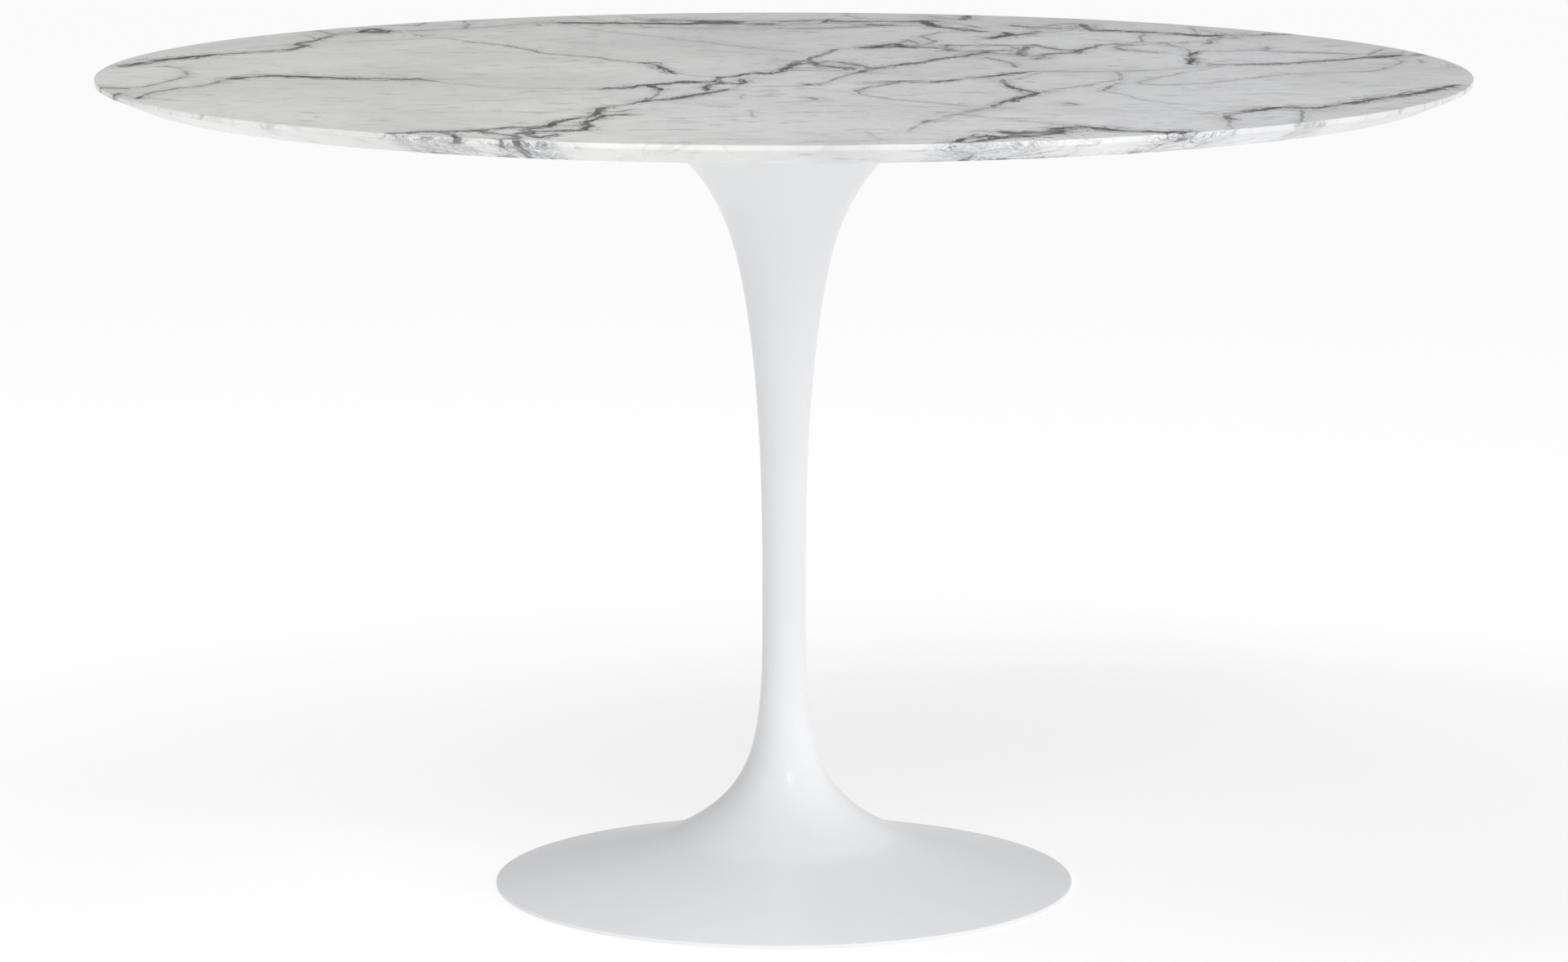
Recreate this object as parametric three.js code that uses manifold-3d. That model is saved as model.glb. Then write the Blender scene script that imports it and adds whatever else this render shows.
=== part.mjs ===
// Round pedestal table: a bevelled marble top bolted to a hollow trumpet casting.
// Millimetres, +Z up, origin on the floor at the middle of the foot.
import * as THREE from "three";
import { mergeVertices } from "three/addons/utils/BufferGeometryUtils.js";
import Module from "manifold-3d";

const wasm = await Module();
wasm.setup();

// ---- driving dimensions ----

const tableHeight = 726;
const topDiameter = 1200;
const footDiameter = 513;
const waistDiameter = 38.4;

const seatGap = 0.3; // glue line or paint film between two pieces that bear on each other
const holeGap = 0.5; // radial, round a shank that passes through a clearance hole
const threadGap = 0.3; // radial, between a thread's crest and the tapped hole
const overcut = 1; // how far a cutting shape runs past the face it opens

// Marble slab
const slab = { thickness: 18, edgeFace: 4.6, bevelRun: 33, arris: 1 };

// Plywood disc glued under the slab
const backing = { diameter: 420, thickness: 15, chamfer: 3 };

// Steel mounting plate between the backing disc and the casting
const plate = { diameter: 384, thickness: 6, bore: 70 };

// Trumpet casting: the outline runs from the mouth down to the rim in four curves.
// A lean is an angle from the vertical, a fall an angle below the horizontal.
const mouth = { diameter: 278, lean: 62.6, reach: 82, flange: 12, bore: 80 };
const neck = { drop: 156.6, flare: 15.8, lean: 9.5, reachUp: 69, reachDown: 85 };
const waist = { top: 270, bottom: 236, reachUp: 83, reachDown: 118 };
const knee = { diameter: 206, height: 45, fall: 27.2, reachUp: 83.6, reachDown: 19 };
const rim = { lift: 1, edge: 2.2, fall: 13.7, reach: 39, land: 20 };
const wall = { stem: 5, foot: 6 };

// Rubber ring pressed into a groove under the rim
const pad = { width: 8, inset: 9, groove: 2 };

// Iron ballast ring inside the foot, hung from bosses of the casting
const ballast = { outer: 250, inner: 110, thickness: 14, bolts: 4, boltCircle: 180, boss: 20 };

// Sheet-steel cover that closes the foot from below
const cover = { thickness: 1.5, lift: 4, edgeGap: 1.5, screws: 4, screwCircle: 150 };

// Fasteners: countersunk screws hold the plate on the casting, and button-head screws
// outside the mouth go up through the plate into threaded inserts in the backing disc.
const m8 = { shank: 8, head: 14, headHeight: 4.4, socket: 5, socketDepth: 2.6 };
const m6 = { shank: 6, head: 10.5, headHeight: 2.5, socket: 4, socketDepth: 1.5 };
const washer = { outer: 20, thickness: 1.6 };
const insert = { outer: 12, flange: 16, flangeThickness: 1.2, length: 12 };
const plateScrew = { count: 6, circle: 190, length: 16 };
const topScrew = { count: 6, circle: 336, length: 16 };
const ballastBolt = { length: 25 }; // head included
const coverScrew = { length: 8 };

// Steps round a full turn, and along each curve of the casting's outline
const turns = { slab: 90, casting: 48, disc: 48, ring: 36, fastener: 8 };
const steps = { mouth: 6, neck: 5, stem: 10, foot: 4, bevel: 3 };

// ---- levels, from the top down and from the floor up ----

const slabBottom = tableHeight - slab.thickness;
const backingTop = slabBottom - seatGap;
const backingBottom = backingTop - backing.thickness;
const plateTop = backingBottom - seatGap;
const plateBottom = plateTop - plate.thickness;
const mouthTop = plateBottom - seatGap;
const coverTop = cover.lift + cover.thickness;
const ballastBottom = coverTop + seatGap;
const ballastTop = ballastBottom + ballast.thickness;
const bossBottom = ballastTop + seatGap;

// ---- shaping helpers ----

const radians = THREE.MathUtils.degToRad;

// A closed or axis-to-axis outline of [radius, height] pairs, listed anticlockwise, turned round Z.
function turned(outline, segments) {
  const points = outline.map(([r, z]) => new THREE.Vector2(r, z));
  return new THREE.LatheGeometry(points, segments).rotateX(Math.PI / 2);
}

// A washer-like ring with a rectangular section.
function ringGeometry(innerRadius, outerRadius, bottom, top, segments) {
  return turned(
    [
      [innerRadius, bottom],
      [outerRadius, bottom],
      [outerRadius, top],
      [innerRadius, top],
      [innerRadius, bottom],
    ],
    segments,
  );
}

// An upright prism or cylinder between two heights; its corners line up with turned pieces.
function columnGeometry(radius, bottom, top, segments) {
  return turned(
    [
      [0, bottom],
      [radius, bottom],
      [radius, top],
      [0, top],
    ],
    segments,
  );
}

function toSolid(geometry) {
  const bare = geometry.clone();
  bare.deleteAttribute("normal");
  bare.deleteAttribute("uv");
  const merged = mergeVertices(bare, 1e-4);
  const mesh = new wasm.Mesh({
    numProp: 3,
    vertProperties: merged.attributes.position.array,
    triVerts: new Uint32Array(merged.index.array),
  });
  return new wasm.Manifold(mesh);
}

function toGeometry(solid) {
  const mesh = solid.getMesh();
  const geometry = new THREE.BufferGeometry();
  geometry.setAttribute("position", new THREE.BufferAttribute(mesh.vertProperties, 3));
  geometry.setIndex(new THREE.BufferAttribute(mesh.triVerts, 1));
  geometry.computeVertexNormals();
  return geometry;
}

// Places spread evenly round a circle, the first one turned by startAngle.
function spread(count, circle, startAngle = 0) {
  return Array.from({ length: count }, (_, i) => {
    const angle = startAngle + (2 * Math.PI * i) / count;
    return { x: (circle / 2) * Math.cos(angle), y: (circle / 2) * Math.sin(angle) };
  });
}

// Cuts the same tool out of a solid at every place.
function drill(solid, tool, places) {
  return places.reduce((left, { x, y }) => left.subtract(toSolid(tool.clone().translate(x, y, 0))), solid);
}

// ---- where the fasteners go ----

const plateScrewPlaces = spread(plateScrew.count, plateScrew.circle, Math.PI / 6);
const topScrewPlaces = spread(topScrew.count, topScrew.circle);
const ballastPlaces = spread(ballast.bolts, ballast.boltCircle, Math.PI / 4);
const coverPlaces = spread(cover.screws, cover.screwCircle);

// ---- the casting's outline ----

function curvePoints(start, firstHandle, lastHandle, end, count) {
  const corners = [start, firstHandle, lastHandle, end].map(([r, z]) => new THREE.Vector2(r, z));
  return new THREE.CubicBezierCurve(...corners).getPoints(count);
}

// The outer surface from the mouth down to the top of the rim's edge, with the wall at each point.
function castingSurface() {
  const mouthRadius = mouth.diameter / 2;
  const waistRadius = waistDiameter / 2;
  const neckRadius = waistRadius + neck.flare;
  const neckHeight = mouthTop - neck.drop;
  const kneeRadius = knee.diameter / 2;
  const rimRadius = footDiameter / 2;
  const rimTop = rim.lift + rim.edge;
  const fromVertical = (angle, reach) => [reach * Math.sin(radians(angle)), reach * Math.cos(radians(angle))];
  const [mouthIn, mouthDown] = fromVertical(mouth.lean, mouth.reach);
  const [neckOut, neckUp] = fromVertical(neck.lean, neck.reachUp);
  const [neckIn, neckDown] = fromVertical(neck.lean, neck.reachDown);
  const [kneeRise, kneeIn] = fromVertical(knee.fall, knee.reachUp);
  const [kneeSink, kneeOut] = fromVertical(knee.fall, knee.reachDown);
  const [rimRise, rimIn] = fromVertical(rim.fall, rim.reach);
  const curves = [
    curvePoints(
      [mouthRadius, mouthTop],
      [mouthRadius - mouthIn, mouthTop - mouthDown],
      [neckRadius + neckOut, neckHeight + neckUp],
      [neckRadius, neckHeight],
      steps.mouth,
    ),
    curvePoints(
      [neckRadius, neckHeight],
      [neckRadius - neckIn, neckHeight - neckDown],
      [waistRadius, waist.top + waist.reachUp],
      [waistRadius, waist.top],
      steps.neck,
    ).slice(1),
    curvePoints(
      [waistRadius, waist.bottom],
      [waistRadius, waist.bottom - waist.reachDown],
      [kneeRadius - kneeIn, knee.height + kneeRise],
      [kneeRadius, knee.height],
      steps.stem,
    ),
    curvePoints(
      [kneeRadius, knee.height],
      [kneeRadius + kneeOut, knee.height - kneeSink],
      [rimRadius - rimIn, rimTop + rimRise],
      [rimRadius, rimTop],
      steps.foot,
    ).slice(1),
  ];
  const stemWalls = [wall.stem, wall.stem, null, wall.foot];
  return curves.flatMap((points, c) =>
    points.map((point, i) => ({
      point,
      wall: stemWalls[c] ?? THREE.MathUtils.lerp(wall.stem, wall.foot, i / (points.length - 1)),
    })),
  );
}

const outerSurface = castingSurface();

// The inner surface: each outer point moved square to the outline by its wall.
const innerSurface = outerSurface.map(({ point, wall: thickness }, i) => {
  const before = outerSurface[Math.max(i - 1, 0)].point;
  const after = outerSurface[Math.min(i + 1, outerSurface.length - 1)].point;
  const along = after.clone().sub(before).normalize();
  return new THREE.Vector2(point.x + along.y * thickness, point.y - along.x * thickness);
});

// Radius of the inner surface at a height inside the foot.
function hollowRadius(height) {
  const after = innerSurface.findIndex((p, i) => i > 0 && p.y <= height && p.x > knee.diameter / 4);
  const [a, b] = [innerSurface[after - 1], innerSurface[after]];
  return THREE.MathUtils.mapLinear(height, a.y, b.y, a.x, b.x);
}

// ---- pieces ----

function marbleTop() {
  const radius = topDiameter / 2;
  const arrisPoints = Array.from({ length: steps.bevel }, (_, i) => {
    const angle = (Math.PI / 2) * (i / (steps.bevel - 1));
    return [
      radius - slab.arris + slab.arris * Math.cos(angle),
      tableHeight - slab.arris + slab.arris * Math.sin(angle),
    ];
  });
  return turned(
    [
      [0, slabBottom],
      [radius - slab.bevelRun, slabBottom],
      [radius, tableHeight - slab.edgeFace],
      ...arrisPoints,
      [0, tableHeight],
    ],
    turns.slab,
  );
}

function insertSocket() {
  const flangeTop = backingBottom + insert.flangeThickness + seatGap;
  const top = backingBottom + insert.length + seatGap;
  return turned(
    [
      [0, backingBottom - overcut],
      [insert.flange / 2 + seatGap, backingBottom - overcut],
      [insert.flange / 2 + seatGap, flangeTop],
      [insert.outer / 2 + seatGap, flangeTop],
      [insert.outer / 2 + seatGap, top],
      [0, top],
    ],
    turns.fastener,
  );
}

function backingDisc() {
  const radius = backing.diameter / 2;
  const disc = turned(
    [
      [0, backingBottom],
      [radius - backing.chamfer, backingBottom],
      [radius, backingBottom + backing.chamfer],
      [radius, backingTop],
      [0, backingTop],
    ],
    turns.disc,
  );
  return toGeometry(drill(toSolid(disc), insertSocket(), topScrewPlaces));
}

function threadedInsert() {
  const bore = m8.shank / 2 + threadGap;
  return turned(
    [
      [bore, 0],
      [insert.flange / 2, 0],
      [insert.flange / 2, insert.flangeThickness],
      [insert.outer / 2, insert.flangeThickness],
      [insert.outer / 2, insert.length],
      [bore, insert.length],
      [bore, 0],
    ],
    turns.fastener,
  );
}

function mountingPlate() {
  const blank = ringGeometry(plate.bore / 2, plate.diameter / 2, plateBottom, plateTop, turns.disc);
  const shankHole = m8.shank / 2 + holeGap;
  const cone = (m8.head - m8.shank) / 2;
  const throughHole = columnGeometry(shankHole, plateBottom - overcut, plateTop + overcut, turns.fastener);
  const countersink = turned(
    [
      [0, plateTop - cone - seatGap],
      [shankHole, plateTop - cone - seatGap],
      [m8.head / 2 + holeGap, plateTop - seatGap],
      [m8.head / 2 + holeGap, plateTop + overcut],
      [0, plateTop + overcut],
    ],
    turns.fastener,
  );
  const drilled = drill(drill(toSolid(blank), throughHole, topScrewPlaces), throughHole, plateScrewPlaces);
  return toGeometry(drill(drilled, countersink, plateScrewPlaces));
}

function pedestalCasting() {
  const rimRadius = footDiameter / 2;
  const landRadius = rimRadius - rim.land;
  const flangeBottom = mouthTop - mouth.flange;
  const outer = outerSurface.map(({ point }) => [point.x, point.y]).reverse();
  const body = toSolid(
    turned(
      [
        [0, rim.lift],
        [rimRadius - rim.edge / 3, rim.lift],
        [rimRadius + rim.edge / 6, rim.lift + rim.edge / 2],
        ...outer,
        [0, mouthTop],
      ],
      turns.casting,
    ),
  );
  const inside = innerSurface.filter((p) => p.y < flangeBottom && p.x < landRadius && p.y > rim.lift + 1);
  const flangeIndex = innerSurface.indexOf(inside[0]);
  const [above, below] = [innerSurface[flangeIndex - 1], innerSurface[flangeIndex]];
  const underFlange = THREE.MathUtils.mapLinear(flangeBottom, above.y, below.y, above.x, below.x);
  const hollow = toSolid(
    turned(
      [
        [0, rim.lift - overcut],
        [landRadius, rim.lift - overcut],
        [landRadius, inside.at(-1).y],
        ...inside.map((p) => [p.x, p.y]).reverse(),
        [underFlange, flangeBottom],
        [mouth.bore / 2, flangeBottom],
        [mouth.bore / 2, mouthTop + overcut],
        [0, mouthTop + overcut],
      ],
      turns.casting,
    ),
  );
  const grooveOuter = rimRadius - pad.inset;
  const groove = ringGeometry(
    grooveOuter - pad.width - 2 * seatGap,
    grooveOuter,
    rim.lift - overcut,
    rim.lift + pad.groove,
    turns.casting,
  );
  const bossTop = knee.height;
  let casting = body.subtract(hollow).subtract(toSolid(groove));
  for (const { x, y } of ballastPlaces) {
    const boss = columnGeometry(ballast.boss / 2, bossBottom, bossTop, turns.fastener).translate(x, y, 0);
    casting = casting.add(toSolid(boss).intersect(body));
  }
  const bossHole = columnGeometry(
    m8.shank / 2 + threadGap,
    bossBottom - overcut,
    ballastBottom + ballastBolt.length + overcut,
    turns.fastener,
  );
  const flangeHole = columnGeometry(
    m8.shank / 2 + threadGap,
    flangeBottom - overcut,
    mouthTop + overcut,
    turns.fastener,
  );
  return toGeometry(drill(drill(casting, bossHole, ballastPlaces), flangeHole, plateScrewPlaces));
}

function padRing() {
  const outer = footDiameter / 2 - pad.inset - seatGap;
  return ringGeometry(outer - pad.width, outer, 0, rim.lift + pad.groove - seatGap, turns.casting);
}

function ballastRing() {
  const blank = ringGeometry(ballast.inner / 2, ballast.outer / 2, ballastBottom, ballastTop, turns.ring);
  const shankHole = columnGeometry(
    m8.shank / 2 + holeGap,
    ballastBottom - overcut,
    ballastTop + overcut,
    turns.fastener,
  );
  const headPocket = columnGeometry(
    m8.head / 2 + holeGap,
    ballastBottom - overcut,
    ballastBottom + m8.headHeight + seatGap,
    turns.fastener,
  );
  const coverHole = columnGeometry(
    m6.shank / 2 + threadGap,
    ballastBottom - overcut,
    ballastBottom + coverScrew.length,
    turns.fastener,
  );
  const bolted = drill(drill(toSolid(blank), shankHole, ballastPlaces), headPocket, ballastPlaces);
  return toGeometry(drill(bolted, coverHole, coverPlaces));
}

function underCover() {
  const radius = hollowRadius(coverTop) - cover.edgeGap;
  const blank = columnGeometry(radius, cover.lift, coverTop, turns.casting);
  const shankHole = columnGeometry(
    m6.shank / 2 + holeGap,
    cover.lift - overcut,
    coverTop + overcut,
    turns.fastener,
  );
  return toGeometry(drill(toSolid(blank), shankHole, coverPlaces));
}

// A button-head screw standing on its head: the head's seat is at 0, the head below, the shank above.
function buttonScrew(size, length) {
  const profile = turned(
    [
      [0, -size.headHeight],
      [size.head * 0.32, -size.headHeight],
      [size.head * 0.45, -size.headHeight * 0.65],
      [size.head / 2, -size.headHeight * 0.2],
      [size.head / 2, 0],
      [size.shank / 2, 0],
      [size.shank / 2, length],
      [0, length],
    ],
    turns.fastener,
  );
  const socket = columnGeometry(
    size.socket / Math.sqrt(3),
    -size.headHeight - overcut,
    -size.headHeight + size.socketDepth,
    6,
  );
  return toGeometry(toSolid(profile).subtract(toSolid(socket)));
}

// A countersunk screw, its flat face at 0 and its shank below.
function flatScrew(size, length) {
  const cone = (size.head - size.shank) / 2;
  const profile = turned(
    [
      [0, -length],
      [size.shank / 2, -length],
      [size.shank / 2, -cone - seatGap],
      [size.head / 2, -seatGap],
      [size.head / 2, 0],
      [0, 0],
    ],
    turns.fastener,
  );
  const socket = columnGeometry(size.socket / Math.sqrt(3), -size.socketDepth, overcut, 6);
  return toGeometry(toSolid(profile).subtract(toSolid(socket)));
}

// ---- finishes ----

function finish(color, roughness, metalness) {
  return () => new THREE.MeshStandardMaterial({ color, roughness, metalness });
}

const finishes = {
  marble: finish(0xdcdcda, 0.2, 0),
  lacquer: finish(0xe9ebee, 0.25, 0),
  plywood: finish(0xc9a878, 0.7, 0),
  blackSteel: finish(0x24262a, 0.5, 0.6),
  zinc: finish(0xa9adb2, 0.35, 0.9),
  brass: finish(0xb08d4a, 0.4, 0.9),
  iron: finish(0x3c3b3a, 0.7, 0.7),
  rubber: finish(0x1c1c1c, 0.9, 0),
};

// ---- assembly ----

const table = new THREE.Group();

function place(name, geometry, material, { x = 0, y = 0, z = 0 } = {}) {
  const mesh = new THREE.Mesh(geometry, material());
  mesh.name = name;
  mesh.position.set(x, y, z);
  table.add(mesh);
}

// One named piece at each place, numbered from 1. The pieces keep the facing of the holes they sit in.
function placeEach(name, makeGeometry, material, places, z) {
  places.forEach(({ x, y }, i) => place(`${name}_${i + 1}`, makeGeometry(), material, { x, y, z }));
}

const washerBottom = plateBottom - seatGap - washer.thickness;
const washerBore = m8.shank / 2 + holeGap;

place("marble_top", marbleTop(), finishes.marble);
place("backing_disc", backingDisc(), finishes.plywood);
place("mounting_plate", mountingPlate(), finishes.blackSteel);
place("pedestal_casting", pedestalCasting(), finishes.lacquer);
place("floor_ring", padRing(), finishes.rubber);
place("ballast_ring", ballastRing(), finishes.iron);
place("under_cover", underCover(), finishes.blackSteel);

placeEach("threaded_insert", threadedInsert, finishes.brass, topScrewPlaces, backingBottom);
placeEach(
  "top_washer",
  () => ringGeometry(washerBore, washer.outer / 2, 0, washer.thickness, turns.fastener),
  finishes.zinc,
  topScrewPlaces,
  washerBottom,
);
placeEach(
  "top_screw",
  () => buttonScrew(m8, topScrew.length),
  finishes.zinc,
  topScrewPlaces,
  washerBottom - seatGap,
);
placeEach(
  "plate_screw",
  () => flatScrew(m8, plateScrew.length),
  finishes.zinc,
  plateScrewPlaces,
  plateTop,
);
placeEach(
  "ballast_bolt",
  () => buttonScrew(m8, ballastBolt.length - m8.headHeight),
  finishes.zinc,
  ballastPlaces,
  ballastBottom + m8.headHeight,
);
placeEach(
  "cover_screw",
  () => buttonScrew(m6, coverScrew.length),
  finishes.blackSteel,
  coverPlaces,
  cover.lift - seatGap,
);

export default table;
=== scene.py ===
# Round pedestal table: a veined marble top on a white trumpet pedestal.
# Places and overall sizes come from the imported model; the shape sizes below are in millimetres.
import math

import bmesh
import bpy
import numpy as np
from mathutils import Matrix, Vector, noise
from mathutils.geometry import delaunay_2d_cdt


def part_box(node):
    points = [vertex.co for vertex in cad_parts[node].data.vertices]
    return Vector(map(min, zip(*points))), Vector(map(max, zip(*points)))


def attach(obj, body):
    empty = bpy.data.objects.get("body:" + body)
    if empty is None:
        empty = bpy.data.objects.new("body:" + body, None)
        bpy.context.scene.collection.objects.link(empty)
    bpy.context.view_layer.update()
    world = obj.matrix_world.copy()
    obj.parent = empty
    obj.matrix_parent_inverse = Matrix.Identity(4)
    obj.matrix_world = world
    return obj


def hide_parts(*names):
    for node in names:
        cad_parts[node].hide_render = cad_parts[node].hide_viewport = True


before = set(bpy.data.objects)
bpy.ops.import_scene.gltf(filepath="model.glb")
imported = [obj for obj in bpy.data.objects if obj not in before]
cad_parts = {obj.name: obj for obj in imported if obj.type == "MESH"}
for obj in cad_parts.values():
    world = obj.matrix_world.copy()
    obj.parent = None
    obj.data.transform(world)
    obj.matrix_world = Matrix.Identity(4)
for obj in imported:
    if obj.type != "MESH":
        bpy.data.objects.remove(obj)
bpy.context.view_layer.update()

millimetre = 0.001
weldDistance = 0.002  # millimetres
cutCrease = 35  # degrees: edges sharper than this stay sharp on a cut piece
holeSides = 46  # not a share of the other pieces' sides, so that the edges don't meet
holeTurn = 0.3  # part of one side that a hole is turned by where they would still meet
print("frame loaded:", len(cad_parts), "packed pieces")


def levels(node):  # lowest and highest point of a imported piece, in millimetres
    low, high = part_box(node)
    return low.z / millimetre, high.z / millimetre


def middle(node):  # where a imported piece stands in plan, in millimetres
    low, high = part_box(node)
    return (low.x + high.x) / 2 / millimetre, (low.y + high.y) / 2 / millimetre


def outerRadius(node):
    low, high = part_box(node)
    return (high.y - low.y) / 2 / millimetre


def numbered(name):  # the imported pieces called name_1, name_2 and so on
    count = sum(1 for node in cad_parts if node.startswith(name + "_"))
    return [f"{name}_{i + 1}" for i in range(count)]


def bezier(start, firstHandle, lastHandle, end, count):
    points = []
    for i in range(count + 1):
        t = i / count
        u = 1 - t
        weights = (u**3, 3 * u * u * t, 3 * u * t * t, t**3)
        corners = (start, firstHandle, lastHandle, end)
        points.append(tuple(sum(w * c[k] for w, c in zip(weights, corners)) for k in (0, 1)))
    return points


def eased(outline, radius, steps=3, sharpest=20, closed=False):
    # Rounds each corner that turns by more than sharpest degrees; points of a special kind stay.
    result = []
    count = len(outline)
    for i, point in enumerate(outline):
        atEnd = not closed and i in (0, count - 1)
        before = outline[i - 1]
        after = outline[(i + 1) % count]
        if atEnd or len(point) > 2 or len(before) > 2 or len(after) > 2:
            result.append(point)
            continue
        here = Vector(point)
        back = Vector(before) - here
        ahead = Vector(after) - here
        turn = 180 - math.degrees(back.angle(ahead))
        if turn < sharpest:
            result.append(point)
            continue
        cut = min(radius, back.length * 0.45, ahead.length * 0.45)
        start = here + back.normalized() * cut
        end = here + ahead.normalized() * cut
        for k in range(steps + 1):
            t = k / steps
            place = start * (1 - t) ** 2 + here * 2 * t * (1 - t) + end * t * t
            result.append((place.x, place.y))
    return result


def ringRadius(radius, kind, angle, height):
    if kind is None:
        return radius
    if kind[0] == "hex":  # radius is half the width across flats
        sector = math.pi / 3
        return radius / math.cos((angle + sector / 2) % sector - sector / 2)
    depth, pitch = kind[1:]  # a thread: radius is the crest
    phase = (height / pitch - angle / (2 * math.pi)) % 1
    return radius - depth * abs(2 * phase - 1)


def turnedMesh(name, outline, segments=96, at=(0, 0), closed=False, turn=0.0):
    # Turns an outline of (radius, height) round the upright line at a place in plan.
    vertices = []
    rings = []
    for radius, height, *kind in outline:
        start = len(vertices)
        if radius < 1e-6:
            vertices.append((at[0], at[1], height))
            rings.append([start] * segments)
            continue
        for s in range(segments):
            angle = 2 * math.pi * (s + turn) / segments
            reach = ringRadius(radius, kind[0] if kind else None, angle, height)
            vertices.append((at[0] + reach * math.cos(angle), at[1] + reach * math.sin(angle), height))
        rings.append(list(range(start, start + segments)))
    faces = []
    pairs = list(zip(rings, rings[1:]))
    if closed:
        pairs.append((rings[-1], rings[0]))
    for low, high in pairs:
        for s in range(segments):
            t = (s + 1) % segments
            corners = [low[s], low[t], high[t], high[s]]
            face = [v for k, v in enumerate(corners) if v not in corners[:k]]
            if len(face) > 2:
                faces.append(face)
    return meshObject(name, vertices, faces)


def meshObject(name, vertices, faces, crease=30):
    # Makes an object of vertices in millimetres; edges sharper than crease degrees stay sharp.
    mesh = bpy.data.meshes.new(name)
    mesh.from_pydata([[c * millimetre for c in v] for v in vertices], [], faces)
    mesh.validate()
    work = bmesh.new()
    work.from_mesh(mesh)
    bmesh.ops.recalc_face_normals(work, faces=work.faces)
    work.to_mesh(mesh)
    work.free()
    mesh.shade_smooth()
    mesh.set_sharp_from_angle(angle=math.radians(crease))
    piece = bpy.data.objects.new(name, mesh)
    bpy.context.scene.collection.objects.link(piece)
    return piece


def shaped(piece, steps):
    # Joins, trims or cuts a piece with others, which are used up.
    for operation, other in steps:
        step = piece.modifiers.new("step", "BOOLEAN")
        step.operation = operation
        step.solver = "EXACT"
        step.object = other
    graph = bpy.context.evaluated_depsgraph_get()
    mesh = bpy.data.meshes.new_from_object(piece.evaluated_get(graph))
    piece.modifiers.clear()
    work = bmesh.new()
    work.from_mesh(mesh)
    bmesh.ops.remove_doubles(work, verts=work.verts, dist=weldDistance * millimetre)
    bmesh.ops.dissolve_degenerate(work, edges=work.edges, dist=weldDistance * millimetre)
    work.to_mesh(mesh)
    work.free()
    piece.data = mesh
    mesh.shade_smooth()
    mesh.set_sharp_from_angle(angle=math.radians(cutCrease))
    for _, other in steps:
        bpy.data.objects.remove(other)
    return piece


def cutAway(piece, cutters):
    return shaped(piece, [("DIFFERENCE", cutter) for cutter in cutters])


def hole(radius, low, high, at, turn=0.0):  # a round cutter
    outline = [(0, low), (radius, low), (radius, high), (0, high)]
    return turnedMesh("hole", outline, holeSides, at, turn=turn)


def settle(piece, material, slot, *nodes):
    # Gives a piece its finish and its place in the model.
    piece.data.materials.clear()
    piece.data.materials.append(material)
    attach(piece, "root")
    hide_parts(*nodes)


class Finish:
    # A material with one glossy surface shader, and short ways to add nodes to it.
    def __init__(self, name, **surface):
        self.material = bpy.data.materials.new(name)
        self.material.use_nodes = True
        self.tree = self.material.node_tree
        self.tree.nodes.clear()
        self.surface = self.add("ShaderNodeBsdfPrincipled")
        output = self.add("ShaderNodeOutputMaterial")
        self.join(self.surface.outputs[0], output.inputs["Surface"])
        for socket, value in surface.items():
            self.surface.inputs[socket].default_value = value
        self.place = self.add("ShaderNodeTexCoord").outputs["Object"]

    def add(self, kind, **settings):
        node = self.tree.nodes.new(kind)
        for key, value in settings.items():
            setattr(node, key, value)
        return node

    def join(self, source, target):
        self.tree.links.new(source, target)

    def fill(self, node, sockets):
        for socket, value in sockets.items():
            if isinstance(value, bpy.types.NodeSocket):
                self.join(value, node.inputs[socket])
            else:
                node.inputs[socket].default_value = value
        return node

    def stretched(self, x, y, z):  # the place on the piece, scaled along each axis
        return self.fill(self.add("ShaderNodeMapping"), {"Vector": self.place, "Scale": (x, y, z)}).outputs[0]

    def cloud(self, size, detail=4, roughness=0.55, distortion=0.0, place=None):
        # Soft noise with lumps of about size millimetres.
        node = self.add("ShaderNodeTexNoise")
        sockets = {"Vector": place or self.place, "Scale": 1 / (size * millimetre), "Detail": detail}
        sockets.update({"Roughness": roughness, "Distortion": distortion})
        return self.fill(node, sockets).outputs[0]

    def sums(self, operation, a, b, clamp=False):
        node = self.add("ShaderNodeMath", operation=operation, use_clamp=clamp)
        return self.fill(node, {0: a, 1: b}).outputs[0]

    def ramp(self, value, fromLow, fromHigh, toLow=0.0, toHigh=1.0, curve="SMOOTHSTEP"):
        node = self.add("ShaderNodeMapRange", interpolation_type=curve)
        sockets = {"Value": value, "From Min": fromLow, "From Max": fromHigh}
        sockets.update({"To Min": toLow, "To Max": toHigh})
        return self.fill(node, sockets).outputs[0]

    def blend(self, amount, a, b):
        node = self.add("ShaderNodeMix", data_type="RGBA")
        self.fill(node, {0: amount})
        for socket, value in ((6, a), (7, b)):
            if isinstance(value, bpy.types.NodeSocket):
                self.join(value, node.inputs[socket])
            else:
                node.inputs[socket].default_value = (*value, 1)
        return node.outputs[2]

    def attribute(self, name):
        return self.add("ShaderNodeAttribute", attribute_name=name).outputs["Fac"]

    def bump(self, height, depth, strength=1.0):  # depth in millimetres
        node = self.add("ShaderNodeBump")
        self.fill(node, {"Height": height, "Distance": depth * millimetre, "Strength": strength})
        self.join(node.outputs[0], self.surface.inputs["Normal"])

    def set(self, socket, source):
        self.join(source, self.surface.inputs[socket])


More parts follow.
